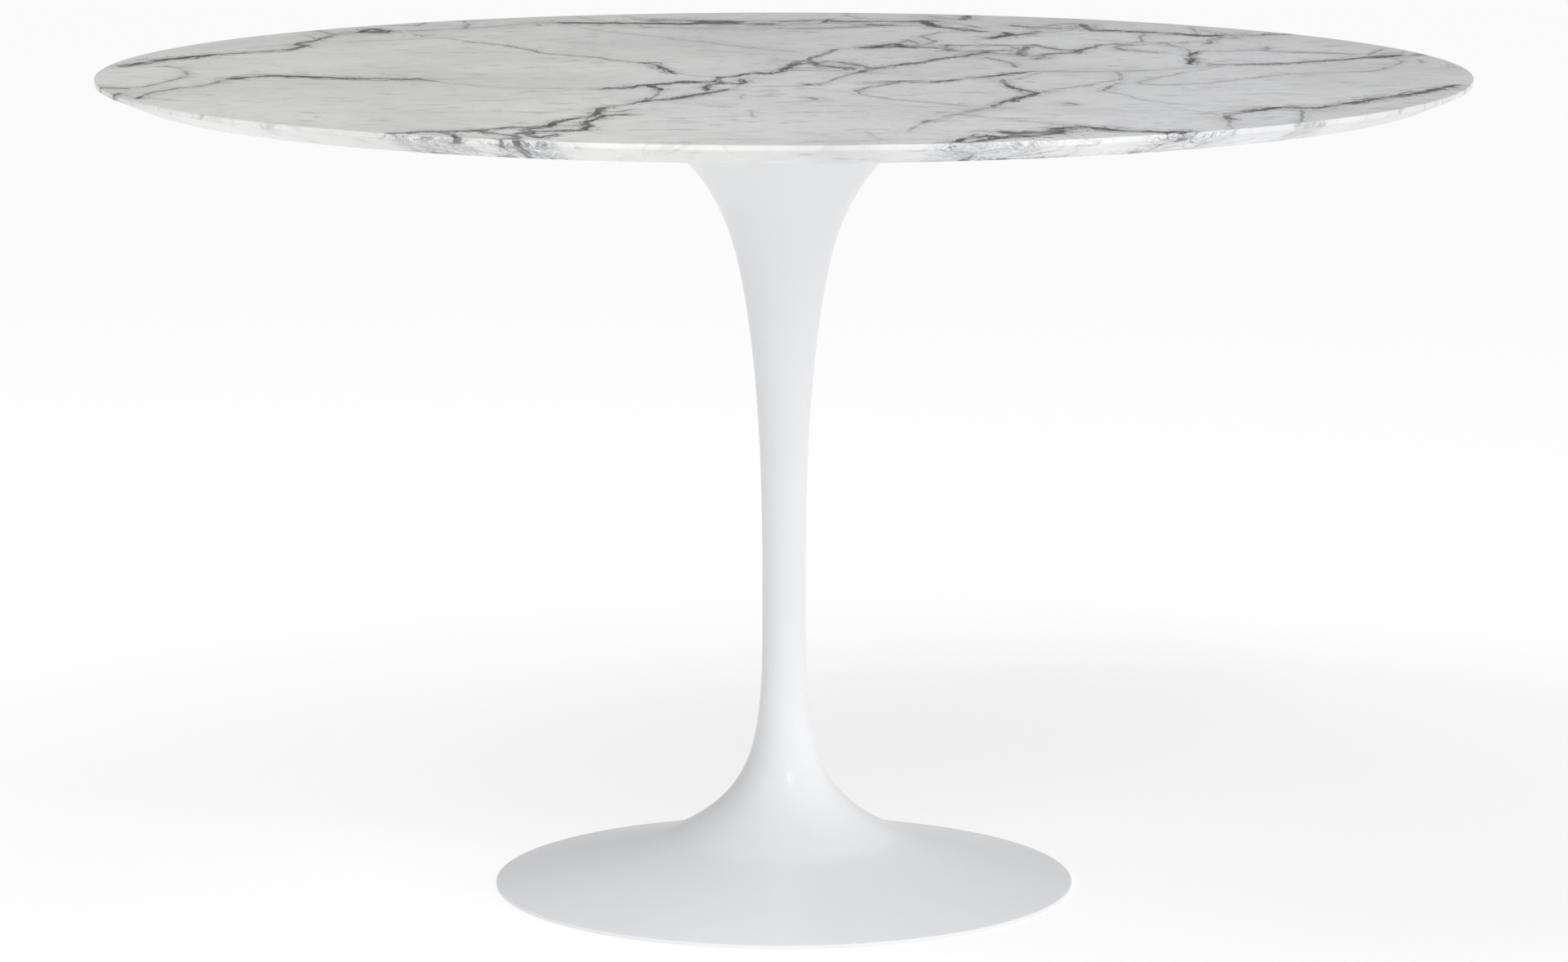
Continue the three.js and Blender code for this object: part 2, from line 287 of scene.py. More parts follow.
def marbleFinish(name, look):
    stone = Finish(name, **{"IOR": look["gloss"]})
    ragged = stone.sums("MULTIPLY", stone.sums("SUBTRACT", stone.cloud(14, 6, 0.65, 0.4), 0.5), 2.4)
    chipped = stone.sums("MULTIPLY", stone.sums("SUBTRACT", stone.cloud(3.2, 4, 0.6), 0.5), 1.3)
    reach = stone.sums("ADD", stone.attribute("veinReach"), stone.sums("ADD", ragged, chipped))
    rimPatch = stone.attribute("rimPatch")
    core = stone.ramp(reach, 1.05, 0.45)
    halo = stone.ramp(reach, 3.2, 0.6, 0, look["halo"])
    tangle = stone.sums("SUBTRACT", stone.cloud(15, 6, 0.6, 1.5, stone.stretched(0.45, 1, 1)), 0.5)
    # thin crazed lines beside the veins
    threads = stone.ramp(stone.sums("ABSOLUTE", tangle, 0), 0.034, 0.006)
    besideVein = stone.sums("MAXIMUM", stone.ramp(reach, 5.4, 1.8), stone.sums("MULTIPLY", rimPatch, 1.4))
    threads = stone.sums("MULTIPLY", stone.sums("MULTIPLY", threads, besideVein), look["threads"])
    strength = stone.sums("MAXIMUM", core, stone.sums("MAXIMUM", halo, threads))
    patches = stone.ramp(stone.cloud(38, 3), 0.3, 0.56, 0.55, 1.2)
    tone = stone.sums("MULTIPLY", stone.attribute("veinTone"), patches)
    vein = stone.sums("MULTIPLY", strength, stone.sums("MAXIMUM", tone, rimPatch), clamp=True)
    parts = stone.add("ShaderNodeSeparateXYZ")
    stone.fill(parts, {0: stone.place})
    across = stone.sums("ADD", parts.outputs["X"], stone.sums("MULTIPLY", stone.cloud(300, 2), 0.5))
    ground = stone.blend(stone.ramp(across, -0.1, 0.65), look["warm"], look["cool"])
    drift = stone.ramp(stone.cloud(240, 3, 0.5, 0.6), 0.36, 0.7, 0, look["drift"])
    ground = stone.blend(drift, ground, look["shade"])
    mottle = stone.ramp(stone.cloud(34, 6, 0.62, 0.8), 0.4, 0.74, 0, look["mottle"])
    ground = stone.blend(mottle, ground, look["smudge"])
    streaks = stone.cloud(17, 4, 0.6, 0.4, stone.stretched(0.5, 1, 1))
    ground = stone.blend(stone.ramp(streaks, 0.57, 0.68, 0, look["streak"]), ground, look["smudge"])
    hair = stone.sums("ABSOLUTE", stone.sums("SUBTRACT", stone.cloud(150, 5, 0.55, 1.6), 0.5), 0)
    ground = stone.blend(stone.ramp(hair, 0.014, 0.0, 0, look["hairline"]), ground, look["smudge"])
    # grey wisps over the smudges in the stone, which also carry the painted shade along the back of the top
    wisps = stone.ramp(stone.cloud(26, 5, 0.6), 0.3, 0.7)
    smokeAndBackShade = stone.sums("MULTIPLY", stone.attribute("greyCloudAndBackShade"), wisps)
    ground = stone.blend(smokeAndBackShade, ground, look["smudge"])
    flecks = stone.ramp(stone.cloud(8, 5, 0.65, 1.0), 0.36, 0.6)
    ground = stone.blend(stone.sums("MULTIPLY", rimPatch, flecks), ground, look["fleck"])
    rust = stone.ramp(stone.cloud(30, 3), 0.45, 0.66, 0, 0.5)
    warmth = stone.sums("MAXIMUM", stone.attribute("veinWarmth"), rust)
    stone.set("Base Color", stone.blend(vein, ground, stone.blend(warmth, look["vein"], look["ochre"])))
    polish = stone.ramp(stone.cloud(70, 5), 0.3, 0.75, look["roughness"] - 0.04, look["roughness"] + 0.05)
    stone.set("Roughness", stone.sums("ADD", polish, stone.sums("MULTIPLY", vein, 0.1)))
    pits = stone.sums("SUBTRACT", stone.sums("MULTIPLY", stone.cloud(1.2, 3), 0.1), vein)
    stone.bump(pits, 0.012, 0.4)
    return stone.material


def lacquerFinish(name, look):
    coat = Finish(name, **{"IOR": 1.37, "Coat Weight": look["coat"], "Coat Roughness": 0.14})
    drift = coat.ramp(coat.cloud(220, 3), 0.35, 0.65)
    colour = coat.blend(drift, look["pale"], look["shade"])
    dust = coat.ramp(coat.cloud(30, 5, 0.6, 0.6), 0.5, 0.8, 0, 0.04)
    coat.set("Base Color", coat.blend(dust, colour, look["dust"]))
    coat.set("Roughness", coat.ramp(coat.cloud(90, 4), 0.3, 0.7, look["roughness"], look["roughness"] + 0.05))
    coat.bump(coat.cloud(7, 2, 0.4), 0.003, 0.15)  # the coat's faint orange peel
    return coat.material


def plywoodFinish(name, look):
    wood = Finish(name)
    grainPlace = wood.stretched(0.12, 1, 1)
    grain = wood.cloud(3.2, 6, 0.6, 0.6, grainPlace)
    face = wood.blend(wood.ramp(grain, 0.3, 0.7), look["pale"], look["dark"])
    parts = wood.add("ShaderNodeSeparateXYZ")
    wood.fill(parts, {0: wood.place})
    ply = wood.sums("MULTIPLY", parts.outputs["Z"], 2 * math.pi / (2 * look["ply"] * millimetre))
    layers = wood.ramp(wood.sums("SINE", ply, 0), -0.25, 0.25)
    edge = wood.blend(layers, look["edgePale"], look["edgeDark"])
    normal = wood.add("ShaderNodeNewGeometry").outputs["Normal"]
    facing = wood.add("ShaderNodeSeparateXYZ")
    wood.fill(facing, {0: normal})
    flat = wood.ramp(wood.sums("ABSOLUTE", facing.outputs["Z"], 0), 0.6, 0.9)
    wood.set("Base Color", wood.blend(flat, edge, face))
    wood.set("Roughness", wood.ramp(grain, 0.2, 0.8, 0.48, 0.66))
    wood.bump(grain, 0.08, 0.5)
    return wood.material


def powderFinish(name, look):
    paint = Finish(name)
    drift = paint.ramp(paint.cloud(50, 4), 0.3, 0.7)
    dust = paint.ramp(paint.cloud(9, 5, 0.7, 0.5), 0.58, 0.75, 0, 0.35)
    colour = paint.blend(drift, look["pale"], look["dark"])
    paint.set("Base Color", paint.blend(dust, colour, look["dust"]))
    paint.set("Roughness", paint.ramp(paint.cloud(12, 4), 0.3, 0.7, 0.42, 0.6))
    paint.bump(paint.cloud(0.8, 3, 0.5), 0.06, 0.6)
    return paint.material


def metalFinish(name, look):
    metal = Finish(name, **{"Metallic": look.get("metallic", 1.0)})
    turning = metal.stretched(1, 1, 9)
    marks = metal.cloud(1.1, 4, 0.6, 0, turning)
    drift = metal.ramp(metal.cloud(7, 5, 0.6, 0.6), 0.35, 0.7)
    metal.set("Base Color", metal.blend(drift, look["pale"], look["dark"]))
    metal.set("Roughness", metal.ramp(marks, 0.3, 0.7, look["roughness"], look["roughness"] + 0.16))
    metal.bump(marks, look["marks"], 0.5)
    return metal.material


def rubberFinish(name, look):
    rubber = Finish(name)
    dust = rubber.ramp(rubber.cloud(8, 6, 0.65), 0.5, 0.74, 0, 0.4)
    rubber.set("Base Color", rubber.blend(dust, look["dark"], look["dust"]))
    rubber.set("Roughness", rubber.ramp(rubber.cloud(4, 4), 0.3, 0.7, 0.72, 0.92))
    rubber.bump(rubber.cloud(0.9, 3), 0.05, 0.6)
    return rubber.material


finishes = {
    "marble": marbleFinish(
        "marble",
        {
            "warm": (0.81, 0.805, 0.787),
            "cool": (0.83, 0.838, 0.856),
            "shade": (0.64, 0.64, 0.635),
            "smudge": (0.4, 0.4, 0.41),
            "fleck": (0.34, 0.36, 0.41),
            "vein": (0.026, 0.027, 0.03),
            "ochre": (0.12, 0.09, 0.055),
            "drift": 0.6,
            "mottle": 0.2,
            "streak": 0.6,
            "hairline": 0.22,
            "halo": 0.18,
            "threads": 0.8,
            "roughness": 0.3,
            "gloss": 1.45,
        },
    ),
    "lacquer": lacquerFinish(
        "lacquer",
        {
            "pale": (0.82, 0.83, 0.85),
            "shade": (0.8, 0.81, 0.832),
            "dust": (0.66, 0.66, 0.66),
            "roughness": 0.3,
            "coat": 0.12,
        },
    ),
    "plywood": plywoodFinish(
        "plywood",
        {
            "pale": (0.62, 0.45, 0.27),
            "dark": (0.47, 0.31, 0.17),
            "edgePale": (0.6, 0.44, 0.27),
            "edgeDark": (0.27, 0.16, 0.08),
            "ply": 1.15,
        },
    ),
    "blackSteel": powderFinish(
        "blackSteel", {"pale": (0.035, 0.036, 0.04), "dark": (0.018, 0.018, 0.02), "dust": (0.1, 0.098, 0.09)}
    ),
    "zinc": metalFinish(
        "zinc", {"pale": (0.68, 0.69, 0.71), "dark": (0.5, 0.51, 0.54), "roughness": 0.24, "marks": 0.02}
    ),
    "brass": metalFinish(
        "brass", {"pale": (0.68, 0.5, 0.24), "dark": (0.5, 0.35, 0.15), "roughness": 0.28, "marks": 0.02}
    ),
    "iron": metalFinish(
        "iron",
        {
            "pale": (0.09, 0.088, 0.085),
            "dark": (0.04, 0.039, 0.038),
            "roughness": 0.55,
            "marks": 0.15,
            "metallic": 0.4,
        },
    ),
    "rubber": rubberFinish("rubber", {"dark": (0.018, 0.018, 0.018), "dust": (0.09, 0.085, 0.08)}),
}
print("finishes mixed:", len(finishes))


top = {
    "edgeFace": 4.6,  # height of the upright edge
    "bevelRun": 33,  # how far the bevel reaches in under the edge
    "arris": 1.0,
    "around": 960,  # steps round the rim
    "grid": 10,  # spacing of the plain stone's points
    "underGrid": 16,
    "closest": 1.1,  # points nearer to each other than this are thinned out
    "faceBand": 4,  # plain bands beside the rim, and how far the inner points stay off them
    "faceMargin": 2,
    "underBand": 8,
    "underMargin": 6,
    "veinRows": (0, -0.9, 0.9, -2, 2, -3.6, 3.6),  # rows of points along a vein, in half widths
    "veinStep": 4,
    "veinEdge": 6,  # how far a vein's shading is worked out, in vein widths
    "seed": 7,  # for the veins' wander; without one the noise starts from the clock
    "wander": (2.6, 2.6, 21),  # how far a vein strays from its drawn line along X and Y, and over what length
    "strandWander": (10, 24, 34),
    "strandFrom": 0.7,  # veins darker than this have thin strands beside them
    "strands": 3,
    "strandWidth": 0.4,  # of the vein's own width
    "strandThinnest": 1.1,
    "strandTone": 0.85,  # of the vein's own darkness
    "rimTone": 0.75,  # veins are paler on the edge than on the face
    "faceDepth": 0.3,  # what lies lower than this under the face is edge
    "crease": 25,  # degrees
}

# Each vein, seen from above with the front edge at the bottom: half width, darkness, warmth, line.
veins = [
    # the broken fracture from the front left rim to the middle
    (3.6, 0.9, 0.1, [(-306, -510), (-290, -500), (-268, -499), (-240, -486), (-215, -464), (-190, -462)]),
    (2.6, 0.8, 0.0, [(-272, -503), (-264, -522), (-258, -542)]),
    (3.2, 0.8, 0.0, [(-245, -490), (-232, -510), (-215, -525), (-207, -545), (-222, -556)]),
    (3.6, 0.95, 0.1, [(-190, -462), (-185, -435), (-172, -405), (-155, -375), (-151, -340), (-150, -312)]),
    (2.6, 0.8, 0.0, [(-150, -312), (-141, -298), (-128, -285), (-119, -262), (-112, -240)]),
    (3.4, 0.9, 0.2, [(-205, -502), (-180, -494), (-158, -488), (-158, -450), (-160, -425), (-151, -395)]),
    (4.0, 0.9, 0.1, [(-151, -395), (-145, -375), (-128, -368)]),
    (3.0, 0.85, 0.0, [(-197, -500), (-204, -525), (-193, -546), (-187, -530), (-180, -521)]),
    (4.2, 0.8, 0.1, [(-190, -462), (-205, -480), (-200, -500), (-212, -518)]),
    (2.4, 0.6, 0.0, [(-150, -340), (-135, -343), (-124, -326)]),
    (4.4, 0.9, 0.1, [(-119, -262), (-106, -250), (-94, -246), (-84, -224), (-75, -206), (-62, -188),
        (-51, -162)]),
    (1.8, 0.55, 0.0, [(-112, -240), (-108, -212), (-107, -185), (-104, -160), (-112, -140), (-116, -120)]),
    (4.2, 0.95, 0.1, [(-152, -151), (-134, -144), (-121, -122), (-101, -108), (-85, -90), (-72, -95)]),
    (2.4, 0.4, 0.0, [(-205, -148), (-180, -156), (-152, -151)]),
    (3.0, 0.9, 0.0, [(-116, -120), (-106, -150), (-104, -170)]),
    (3.2, 0.8, 0.1, [(-66, -165), (-68, -140), (-61, -115), (-50, -100), (-38, -112), (-34, -95),
        (-36, -70)]),
    (3.2, 0.9, 0.1, [(-85, -100), (-60, -95), (-58, -70), (-54, -50), (-41, -44), (-37, -25), (-24, -14)]),
    (3.4, 0.9, 0.1, [(-24, -14), (-14, -24), (-4, -4), (0, 16), (4, 42), (7, 66)]),
    (2.0, 0.5, 0.0, [(-51, -160), (-40, -132), (-34, -108)]),
    (2.2, 0.6, 0.0, [(-34, -130), (-12, -131), (8, -128), (22, -118)]),
    # the dark knot behind the middle
    (5.0, 0.85, 0.3, [(0, 16), (5, 45), (11, 70), (8, 94), (20, 101), (26, 88), (30, 60), (45, 40),
        (62, 25)]),
    (4.4, 0.75, 0.5, [(7, 70), (25, 76), (40, 96), (51, 85), (61, 70), (72, 50), (75, 30), (70, 4)]),
    (16.0, 0.32, 0.5, [(18, 78), (40, 58), (60, 30), (70, 14)]),
    (3.0, 0.5, 0.2, [(8, 40), (30, 35), (50, 31)]),
    (3.0, 0.5, 0.2, [(10, 12), (36, 8), (64, 12)]),
    (2.2, 0.75, 0.0, [(22, 104), (25, 130), (33, 155), (40, 182), (48, 210)]),
    (1.8, 0.35, 0.0, [(48, 210), (60, 222), (74, 230)]),
    # the strong diagonal to the right of the knot
    (5.2, 0.9, 0.6, [(67, -4), (80, 30), (95, 50), (109, 72)]),
    (3.8, 0.85, 0.2, [(109, 72), (125, 90), (133, 110), (150, 135), (165, 152), (176, 172), (186, 190)]),
    (12.0, 0.34, 0.0, [(156, 140), (168, 152), (180, 166)]),
    (2.6, 0.6, 0.0, [(181, 130), (190, 108), (200, 85), (203, 60), (206, 40)]),
    # the net of veins to the right of the middle
    (6.0, 0.95, 0.1, [(72, 229), (95, 233), (118, 236)]),
    (6.4, 0.95, 0.1, [(80, 236), (92, 250), (100, 266), (105, 250), (112, 238)]),
    (4.0, 0.8, 0.2, [(118, 236), (135, 226), (147, 214), (150, 200)]),
    (3.0, 0.6, 0.0, [(103, 268), (112, 290), (113, 308), (120, 285), (124, 266)]),
    (2.8, 0.55, 0.2, [(122, 250), (134, 270), (140, 295), (132, 315), (128, 340), (139, 365), (146, 388)]),
    (3.0, 0.85, 0.3, [(150, 250), (180, 252), (215, 252), (232, 250)]),
    (3.4, 0.75, 0.2, [(150, 255), (148, 230), (150, 200), (166, 195), (185, 200), (206, 198)]),
    (3.4, 0.85, 0.1, [(232, 250), (240, 225), (250, 208), (268, 202), (274, 215), (285, 240),
        (292, 260), (310, 262)]),
    (3.6, 0.75, 0.3, [(232, 250), (223, 235), (218, 210), (214, 184), (212, 160), (216, 144)]),
    (4.0, 0.8, 0.2, [(268, 202), (262, 180), (248, 172), (238, 160), (228, 150), (236, 138), (222, 114)]),
    (3.0, 0.5, 0.0, [(205, 240), (211, 220), (218, 200)]),
    (3.4, 0.6, 0.4, [(185, 200), (182, 186), (192, 174), (205, 160)]),
    # veins across the back right
    (5.6, 0.95, 0.2, [(284, 462), (286, 430), (290, 411), (310, 401), (335, 388), (358, 375)]),
    (6.0, 0.95, 0.1, [(358, 375), (373, 361), (386, 352), (401, 351)]),
    (4.4, 0.8, 0.3, [(401, 351), (418, 356), (440, 354), (456, 362), (482, 366)]),
    (7.0, 0.9, 0.1, [(218, 451), (230, 436), (246, 430), (257, 424)]),
    (3.6, 0.6, 0.0, [(244, 448), (258, 464), (275, 480)]),
    (6.0, 0.95, 0.2, [(206, 378), (210, 356), (201, 340), (189, 320)]),
    (6.0, 0.95, 0.1, [(219, 358), (227, 368), (236, 380)]),
    (3.0, 0.4, 0.0, [(236, 380), (254, 394), (268, 405), (273, 422)]),
    (2.2, 0.6, 0.4, [(335, 388), (336, 365), (333, 345), (331, 318), (330, 285)]),
    (3.4, 0.6, 0.2, [(292, 260), (310, 262), (319, 275), (331, 286), (347, 280)]),
    (4.0, 0.6, 0.3, [(348, 268), (330, 258), (310, 248), (303, 235), (305, 214), (311, 200), (323, 190),
        (336, 177)]),
    (2.2, 0.5, 0.1, [(350, 284), (353, 260), (360, 240), (366, 215), (368, 190)]),
    (2.6, 0.98, 0.0, [(372, 184), (368, 165), (364, 140), (366, 115), (362, 90), (360, 65)]),
    (4.2, 0.65, 0.3, [(372, 184), (381, 195), (400, 195), (416, 200), (430, 198), (446, 190), (458, 185)]),
    (3.6, 0.45, 0.1, [(430, 198), (440, 215), (442, 236)]),
    (5.0, 0.6, 0.6, [(458, 185), (485, 178), (498, 172), (514, 162)]),
    (4.8, 0.8, 0.3, [(380, 62), (402, 65), (430, 70), (455, 82), (480, 97), (500, 112), (519, 129),
        (532, 138)]),
    (8.0, 0.95, 0.1, [(530, 136), (543, 140), (552, 153)]),
    (4.6, 0.7, 0.0, [(552, 153), (566, 156), (580, 162)]),
    (2.4, 0.5, 0.0, [(525, 150), (530, 170), (538, 195), (545, 218)]),
    (2.2, 0.4, 0.0, [(551, 155), (558, 178), (563, 198)]),
    (2.6, 0.75, 0.0, [(401, 350), (406, 330), (397, 310), (394, 290), (390, 268)]),
    (5.0, 0.4, 0.0, [(416, 352), (420, 330), (412, 318)]),
    (5.0, 0.45, 0.3, [(362, 272), (372, 284), (388, 286)]),
    (2.0, 0.4, 0.0, [(384, 442), (386, 410), (388, 385), (384, 358)]),
    (3.0, 0.4, 0.0, [(393, 406), (400, 385), (412, 370)]),
    (5.0, 0.5, 0.1, [(424, 374), (436, 364)]),
    (2.2, 0.45, 0.0, [(548, 120), (550, 100), (545, 70), (535, 45), (525, 20), (508, 0)]),
    (2.4, 0.5, 0.0, [(569, 108), (567, 80)]),
    (2.4, 0.4, 0.0, [(587, 92), (590, 60), (592, 30)]),
    # the heavy veins along the back
    (8.0, 0.98, 0.1, [(-212, 486), (-175, 482), (-140, 480), (-110, 478), (-80, 475), (-45, 474),
        (-12, 470)]),
    (7.0, 0.95, 0.2, [(-128, 512), (-100, 508), (-70, 505), (-40, 500)]),
    (10.0, 0.95, 0.1, [(-78, 490), (-45, 490)]),
    (6.0, 0.8, 0.1, [(-8, 500), (15, 505), (26, 508)]),
    (3.2, 0.8, 0.0, [(35, 480), (41, 500), (44, 526)]),
    (4.4, 0.7, 0.2, [(8, 476), (25, 471), (38, 482)]),
    (7.0, 0.75, 0.4, [(48, 500), (80, 500), (110, 498), (128, 502), (146, 505)]),
    (7.0, 0.95, 0.1, [(133, 505), (135, 480), (140, 465), (148, 438)]),
    (4.0, 0.5, 0.1, [(150, 482), (165, 474), (172, 464), (178, 450), (186, 430)]),
    (6.0, 0.6, 0.3, [(14, 424), (40, 430), (60, 435), (75, 445), (95, 455)]),
    (8.0, 0.9, 0.1, [(82, 462), (100, 460)]),
    (6.0, 0.4, 0.2, [(-132, 436), (-105, 430), (-60, 428), (-30, 420), (-5, 425), (12, 422)]),
    (7.0, 0.8, 0.3, [(155, 436), (165, 420), (172, 411), (178, 400), (187, 392)]),
    (5.0, 0.3, 0.2, [(146, 390), (170, 385)]),
    (5.0, 0.85, 0.0, [(176, 562), (176, 540), (173, 520)]),
    (8.0, 0.3, 0.0, [(140, 562), (150, 540), (162, 528)]),
    (3.0, 0.35, 0.1, [(60, 592), (60, 562), (68, 545), (82, 528)]),
    (7.0, 0.35, 0.3, [(-235, 480), (-252, 470), (-262, 455), (-278, 440), (-300, 430), (-330, 410),
        (-352, 398)]),
    (3.0, 0.5, 0.0, [(-340, 492), (-345, 470), (-348, 454)]),
    (2.6, 0.5, 0.0, [(-306, 502), (-303, 480), (-300, 460), (-300, 418)]),
    (3.0, 0.45, 0.0, [(-240, 492), (-232, 470), (-232, 454)]),
    (4.0, 0.35, 0.2, [(-382, 456), (-350, 450), (-318, 456)]),
    # the left side
    (4.6, 0.95, 0.0, [(-399, 384), (-393, 410), (-388, 421), (-378, 405), (-371, 394), (-378, 380),
        (-399, 384)]),
    (8.0, 0.95, 0.1, [(-386, 388), (-379, 391)]),
    (2.6, 0.85, 0.0, [(-400, 378), (-412, 368), (-420, 362), (-422, 345), (-428, 325), (-432, 305),
        (-436, 290)]),
    (3.6, 0.85, 0.1, [(-436, 290), (-447, 275), (-446, 258), (-437, 245), (-442, 228), (-450, 210),
        (-462, 198)]),
    (4.2, 0.75, 0.2, [(-462, 198), (-475, 185), (-495, 172), (-515, 158)]),
    (7.0, 0.95, 0.1, [(-515, 158), (-530, 140), (-547, 120), (-561, 96)]),
    (5.0, 0.95, 0.1, [(-561, 96), (-575, 70), (-586, 48)]),
    (2.6, 0.5, 0.0, [(-440, 402), (-430, 388), (-425, 368)]),
    (2.4, 0.4, 0.0, [(-445, 356), (-438, 335), (-434, 308)]),
    (2.2, 0.45, 0.3, [(-348, 372), (-338, 350), (-335, 336), (-310, 318), (-297, 300), (-288, 283)]),
    (2.4, 0.65, 0.3, [(-288, 283), (-272, 268), (-255, 252), (-248, 235), (-238, 215), (-226, 195),
        (-220, 175)]),
    (2.4, 0.65, 0.2, [(-220, 175), (-205, 160), (-185, 148), (-166, 132), (-158, 114), (-145, 100),
        (-130, 82)]),
    (2.8, 0.98, 0.0, [(-130, 82), (-117, 70), (-110, 50), (-107, 30), (-100, 5), (-97, -15)]),
    (2.0, 0.35, 0.0, [(-97, -15), (-85, -32), (-60, -46)]),
    (4.0, 0.25, 0.3, [(-332, 325), (-350, 308), (-372, 297), (-402, 286)]),
    (4.4, 0.28, 0.2, [(-205, 466), (-190, 435), (-175, 405), (-160, 385), (-140, 362), (-115, 335),
        (-100, 310)]),
    (7.0, 0.25, 0.0, [(-100, 310), (-75, 285), (-50, 250), (-30, 225), (-5, 200), (10, 180)]),
    (2.8, 0.3, 0.0, [(-196, 552), (-186, 525), (-176, 498)]),
    (3.0, 0.3, 0.0, [(-155, 562), (-143, 534)]),
    (5.2, 0.98, 0.1, [(-480, -66), (-465, -50), (-448, -35), (-425, -42), (-400, -52)]),
    (5.2, 0.85, 0.4, [(-400, -52), (-375, -62), (-345, -66), (-315, -68)]),
    (4.2, 0.6, 0.3, [(-310, -74), (-298, -92)]),
    (3.0, 0.65, 0.1, [(-521, -55), (-529, -85), (-538, -110), (-546, -135)]),
    (2.6, 0.5, 0.0, [(-546, 52), (-532, 26), (-522, 0), (-520, -22), (-521, -55)]),
    (3.6, 0.6, 0.2, [(-487, -85), (-488, -105), (-500, -130), (-512, -142), (-522, -160), (-532, -180),
        (-538, -205)]),
    (3.0, 0.8, 0.0, [(-540, -218), (-541, -238)]),
    (7.0, 0.6, 0.2, [(-580, -143), (-562, -150)]),
    (5.0, 0.75, 0.0, [(-566, -204), (-560, -194)]),
    (4.4, 0.2, 0.1, [(-298, -92), (-270, -118), (-245, -142), (-205, -148)]),
    # the right side, front
    (3.6, 0.9, 0.1, [(216, 2), (205, -8), (194, -26), (175, -50), (155, -65), (140, -82), (125, -92)]),
    (4.0, 0.8, 0.1, [(125, -92), (100, -90), (70, -98)]),
    (2.6, 0.55, 0.1, [(66, -5), (56, -30), (45, -60), (38, -90), (30, -112), (14, -132)]),
    (5.0, 0.8, 0.2, [(22, -112), (24, -119)]),
    (2.4, 0.6, 0.0, [(97, -95), (88, -120), (72, -145), (62, -170), (63, -195)]),
    (2.8, 0.45, 0.2, [(63, -195), (78, -225), (100, -250), (130, -275), (150, -297)]),
    (3.0, 0.3, 0.0, [(10, -140), (36, -162), (54, -182)]),
    (3.4, 0.95, 0.0, [(190, -74), (188, -90)]),
    (2.6, 0.85, 0.0, [(188, -90), (192, -120), (195, -145), (206, -172), (214, -184)]),
    (3.4, 0.95, 0.0, [(214, -184), (206, -210), (196, -234), (186, -258)]),
    (2.6, 0.8, 0.0, [(186, -258), (177, -285), (172, -305)]),
    (7.0, 0.45, 0.0, [(172, -305), (160, -330), (146, -354), (136, -372), (130, -392)]),
    (4.0, 0.55, 0.0, [(126, -402), (117, -416), (111, -436)]),
    (2.4, 0.4, 0.0, [(111, -436), (105, -465), (98, -492)]),
    (3.6, 0.42, 0.0, [(291, -68), (275, -95), (255, -130), (232, -155), (218, -182)]),
    (3.2, 0.6, 0.0, [(287, -104), (278, -135), (271, -168)]),
    (2.6, 0.4, 0.0, [(290, 6), (292, -20), (293, -50), (291, -75)]),
    (5.0, 0.35, 0.0, [(220, 2), (250, 0), (275, 2), (302, 4)]),
    (3.0, 0.3, 0.0, [(225, -8), (211, -44), (200, -70)]),
    (2.4, 0.4, 0.1, [(350, -4), (335, -35), (318, -65), (305, -92), (306, -110)]),
    (2.8, 0.42, 0.1, [(306, -110), (325, -121), (345, -115), (360, -105), (385, -80), (402, -62)]),
    (2.4, 0.55, 0.0, [(402, -62), (420, -40), (440, -25), (465, -15), (490, -6), (522, 6)]),
    (3.8, 0.38, 0.0, [(300, 2), (320, 11), (335, 22), (350, 35), (366, 43), (386, 50)]),
    (2.0, 0.3, 0.1, [(386, 50), (372, 25), (360, 8), (350, -4)]),
    (4.0, 0.85, 0.0, [(574, -120), (566, -138), (558, -152)]),
    (6.0, 0.98, 0.3, [(558, -150), (552, -165), (540, -186), (524, -206), (504, -225)]),
    (4.2, 0.95, 0.1, [(504, -225), (490, -245), (478, -265), (462, -282), (450, -300), (441, -314)]),
    (8.0, 0.98, 0.0, [(424, -316), (436, -315)]),
    (4.4, 0.9, 0.1, [(424, -306), (405, -309), (396, -324), (385, -340)]),
    (6.0, 0.95, 0.1, [(392, -334), (380, -342)]),
    (3.8, 0.85, 0.1, [(380, -345), (371, -356), (361, -372), (360, -395)]),
    (2.2, 0.5, 0.0, [(360, -395), (359, -420), (358, -450), (357, -480)]),
    (2.2, 0.55, 0.0, [(425, -325), (424, -350), (423, -375), (420, -402), (415, -430)]),
    (2.4, 0.35, 0.0, [(270, -170), (290, -215), (300, -245), (315, -270), (342, -292)]),
    (2.6, 0.28, 0.0, [(357, -375), (345, -345), (325, -330), (304, -336)]),
    (4.0, 0.5, 0.0, [(235, -270), (243, -286)]),
    (5.0, 0.55, 0.1, [(22, -226), (28, -242)]),
    (4.0, 0.28, 0.2, [(-6, -266), (20, -261), (42, -250)]),
    # the dark patches on the front rim
    (8.0, 0.9, 0.3, [(176, -500), (190, -511), (206, -500), (216, -480), (226, -470)]),
    (8.0, 0.9, 0.4, [(185, -532), (205, -526), (215, -510), (222, -490)]),
    (5.6, 0.98, 0.0, [(226, -470), (240, -459), (250, -470), (262, -485), (280, -495), (300, -502),
        (322, -500)]),
    (5.0, 0.85, 0.1, [(303, -514), (310, -498)]),
    (3.8, 0.35, 0.1, [(150, -374), (175, -395), (200, -420), (220, -445), (238, -458)]),
    (4.6, 0.9, 0.1, [(134, -578), (139, -556), (150, -540), (162, -530), (171, -545), (158, -560),
        (149, -574)]),
    (4.2, 0.8, 0.1, [(171, -545), (180, -530), (190, -514)]),
    (3.0, 0.22, 0.0, [(65, -500), (70, -530), (76, -562)]),
    (4.4, 0.22, 0.0, [(98, -504), (115, -515), (137, -520)]),
    (1.8, 0.35, 0.0, [(-34, -200), (-37, -242)]),
    (2.2, 0.35, 0.0, [(-29, -335), (-26, -365), (-24, -392)]),
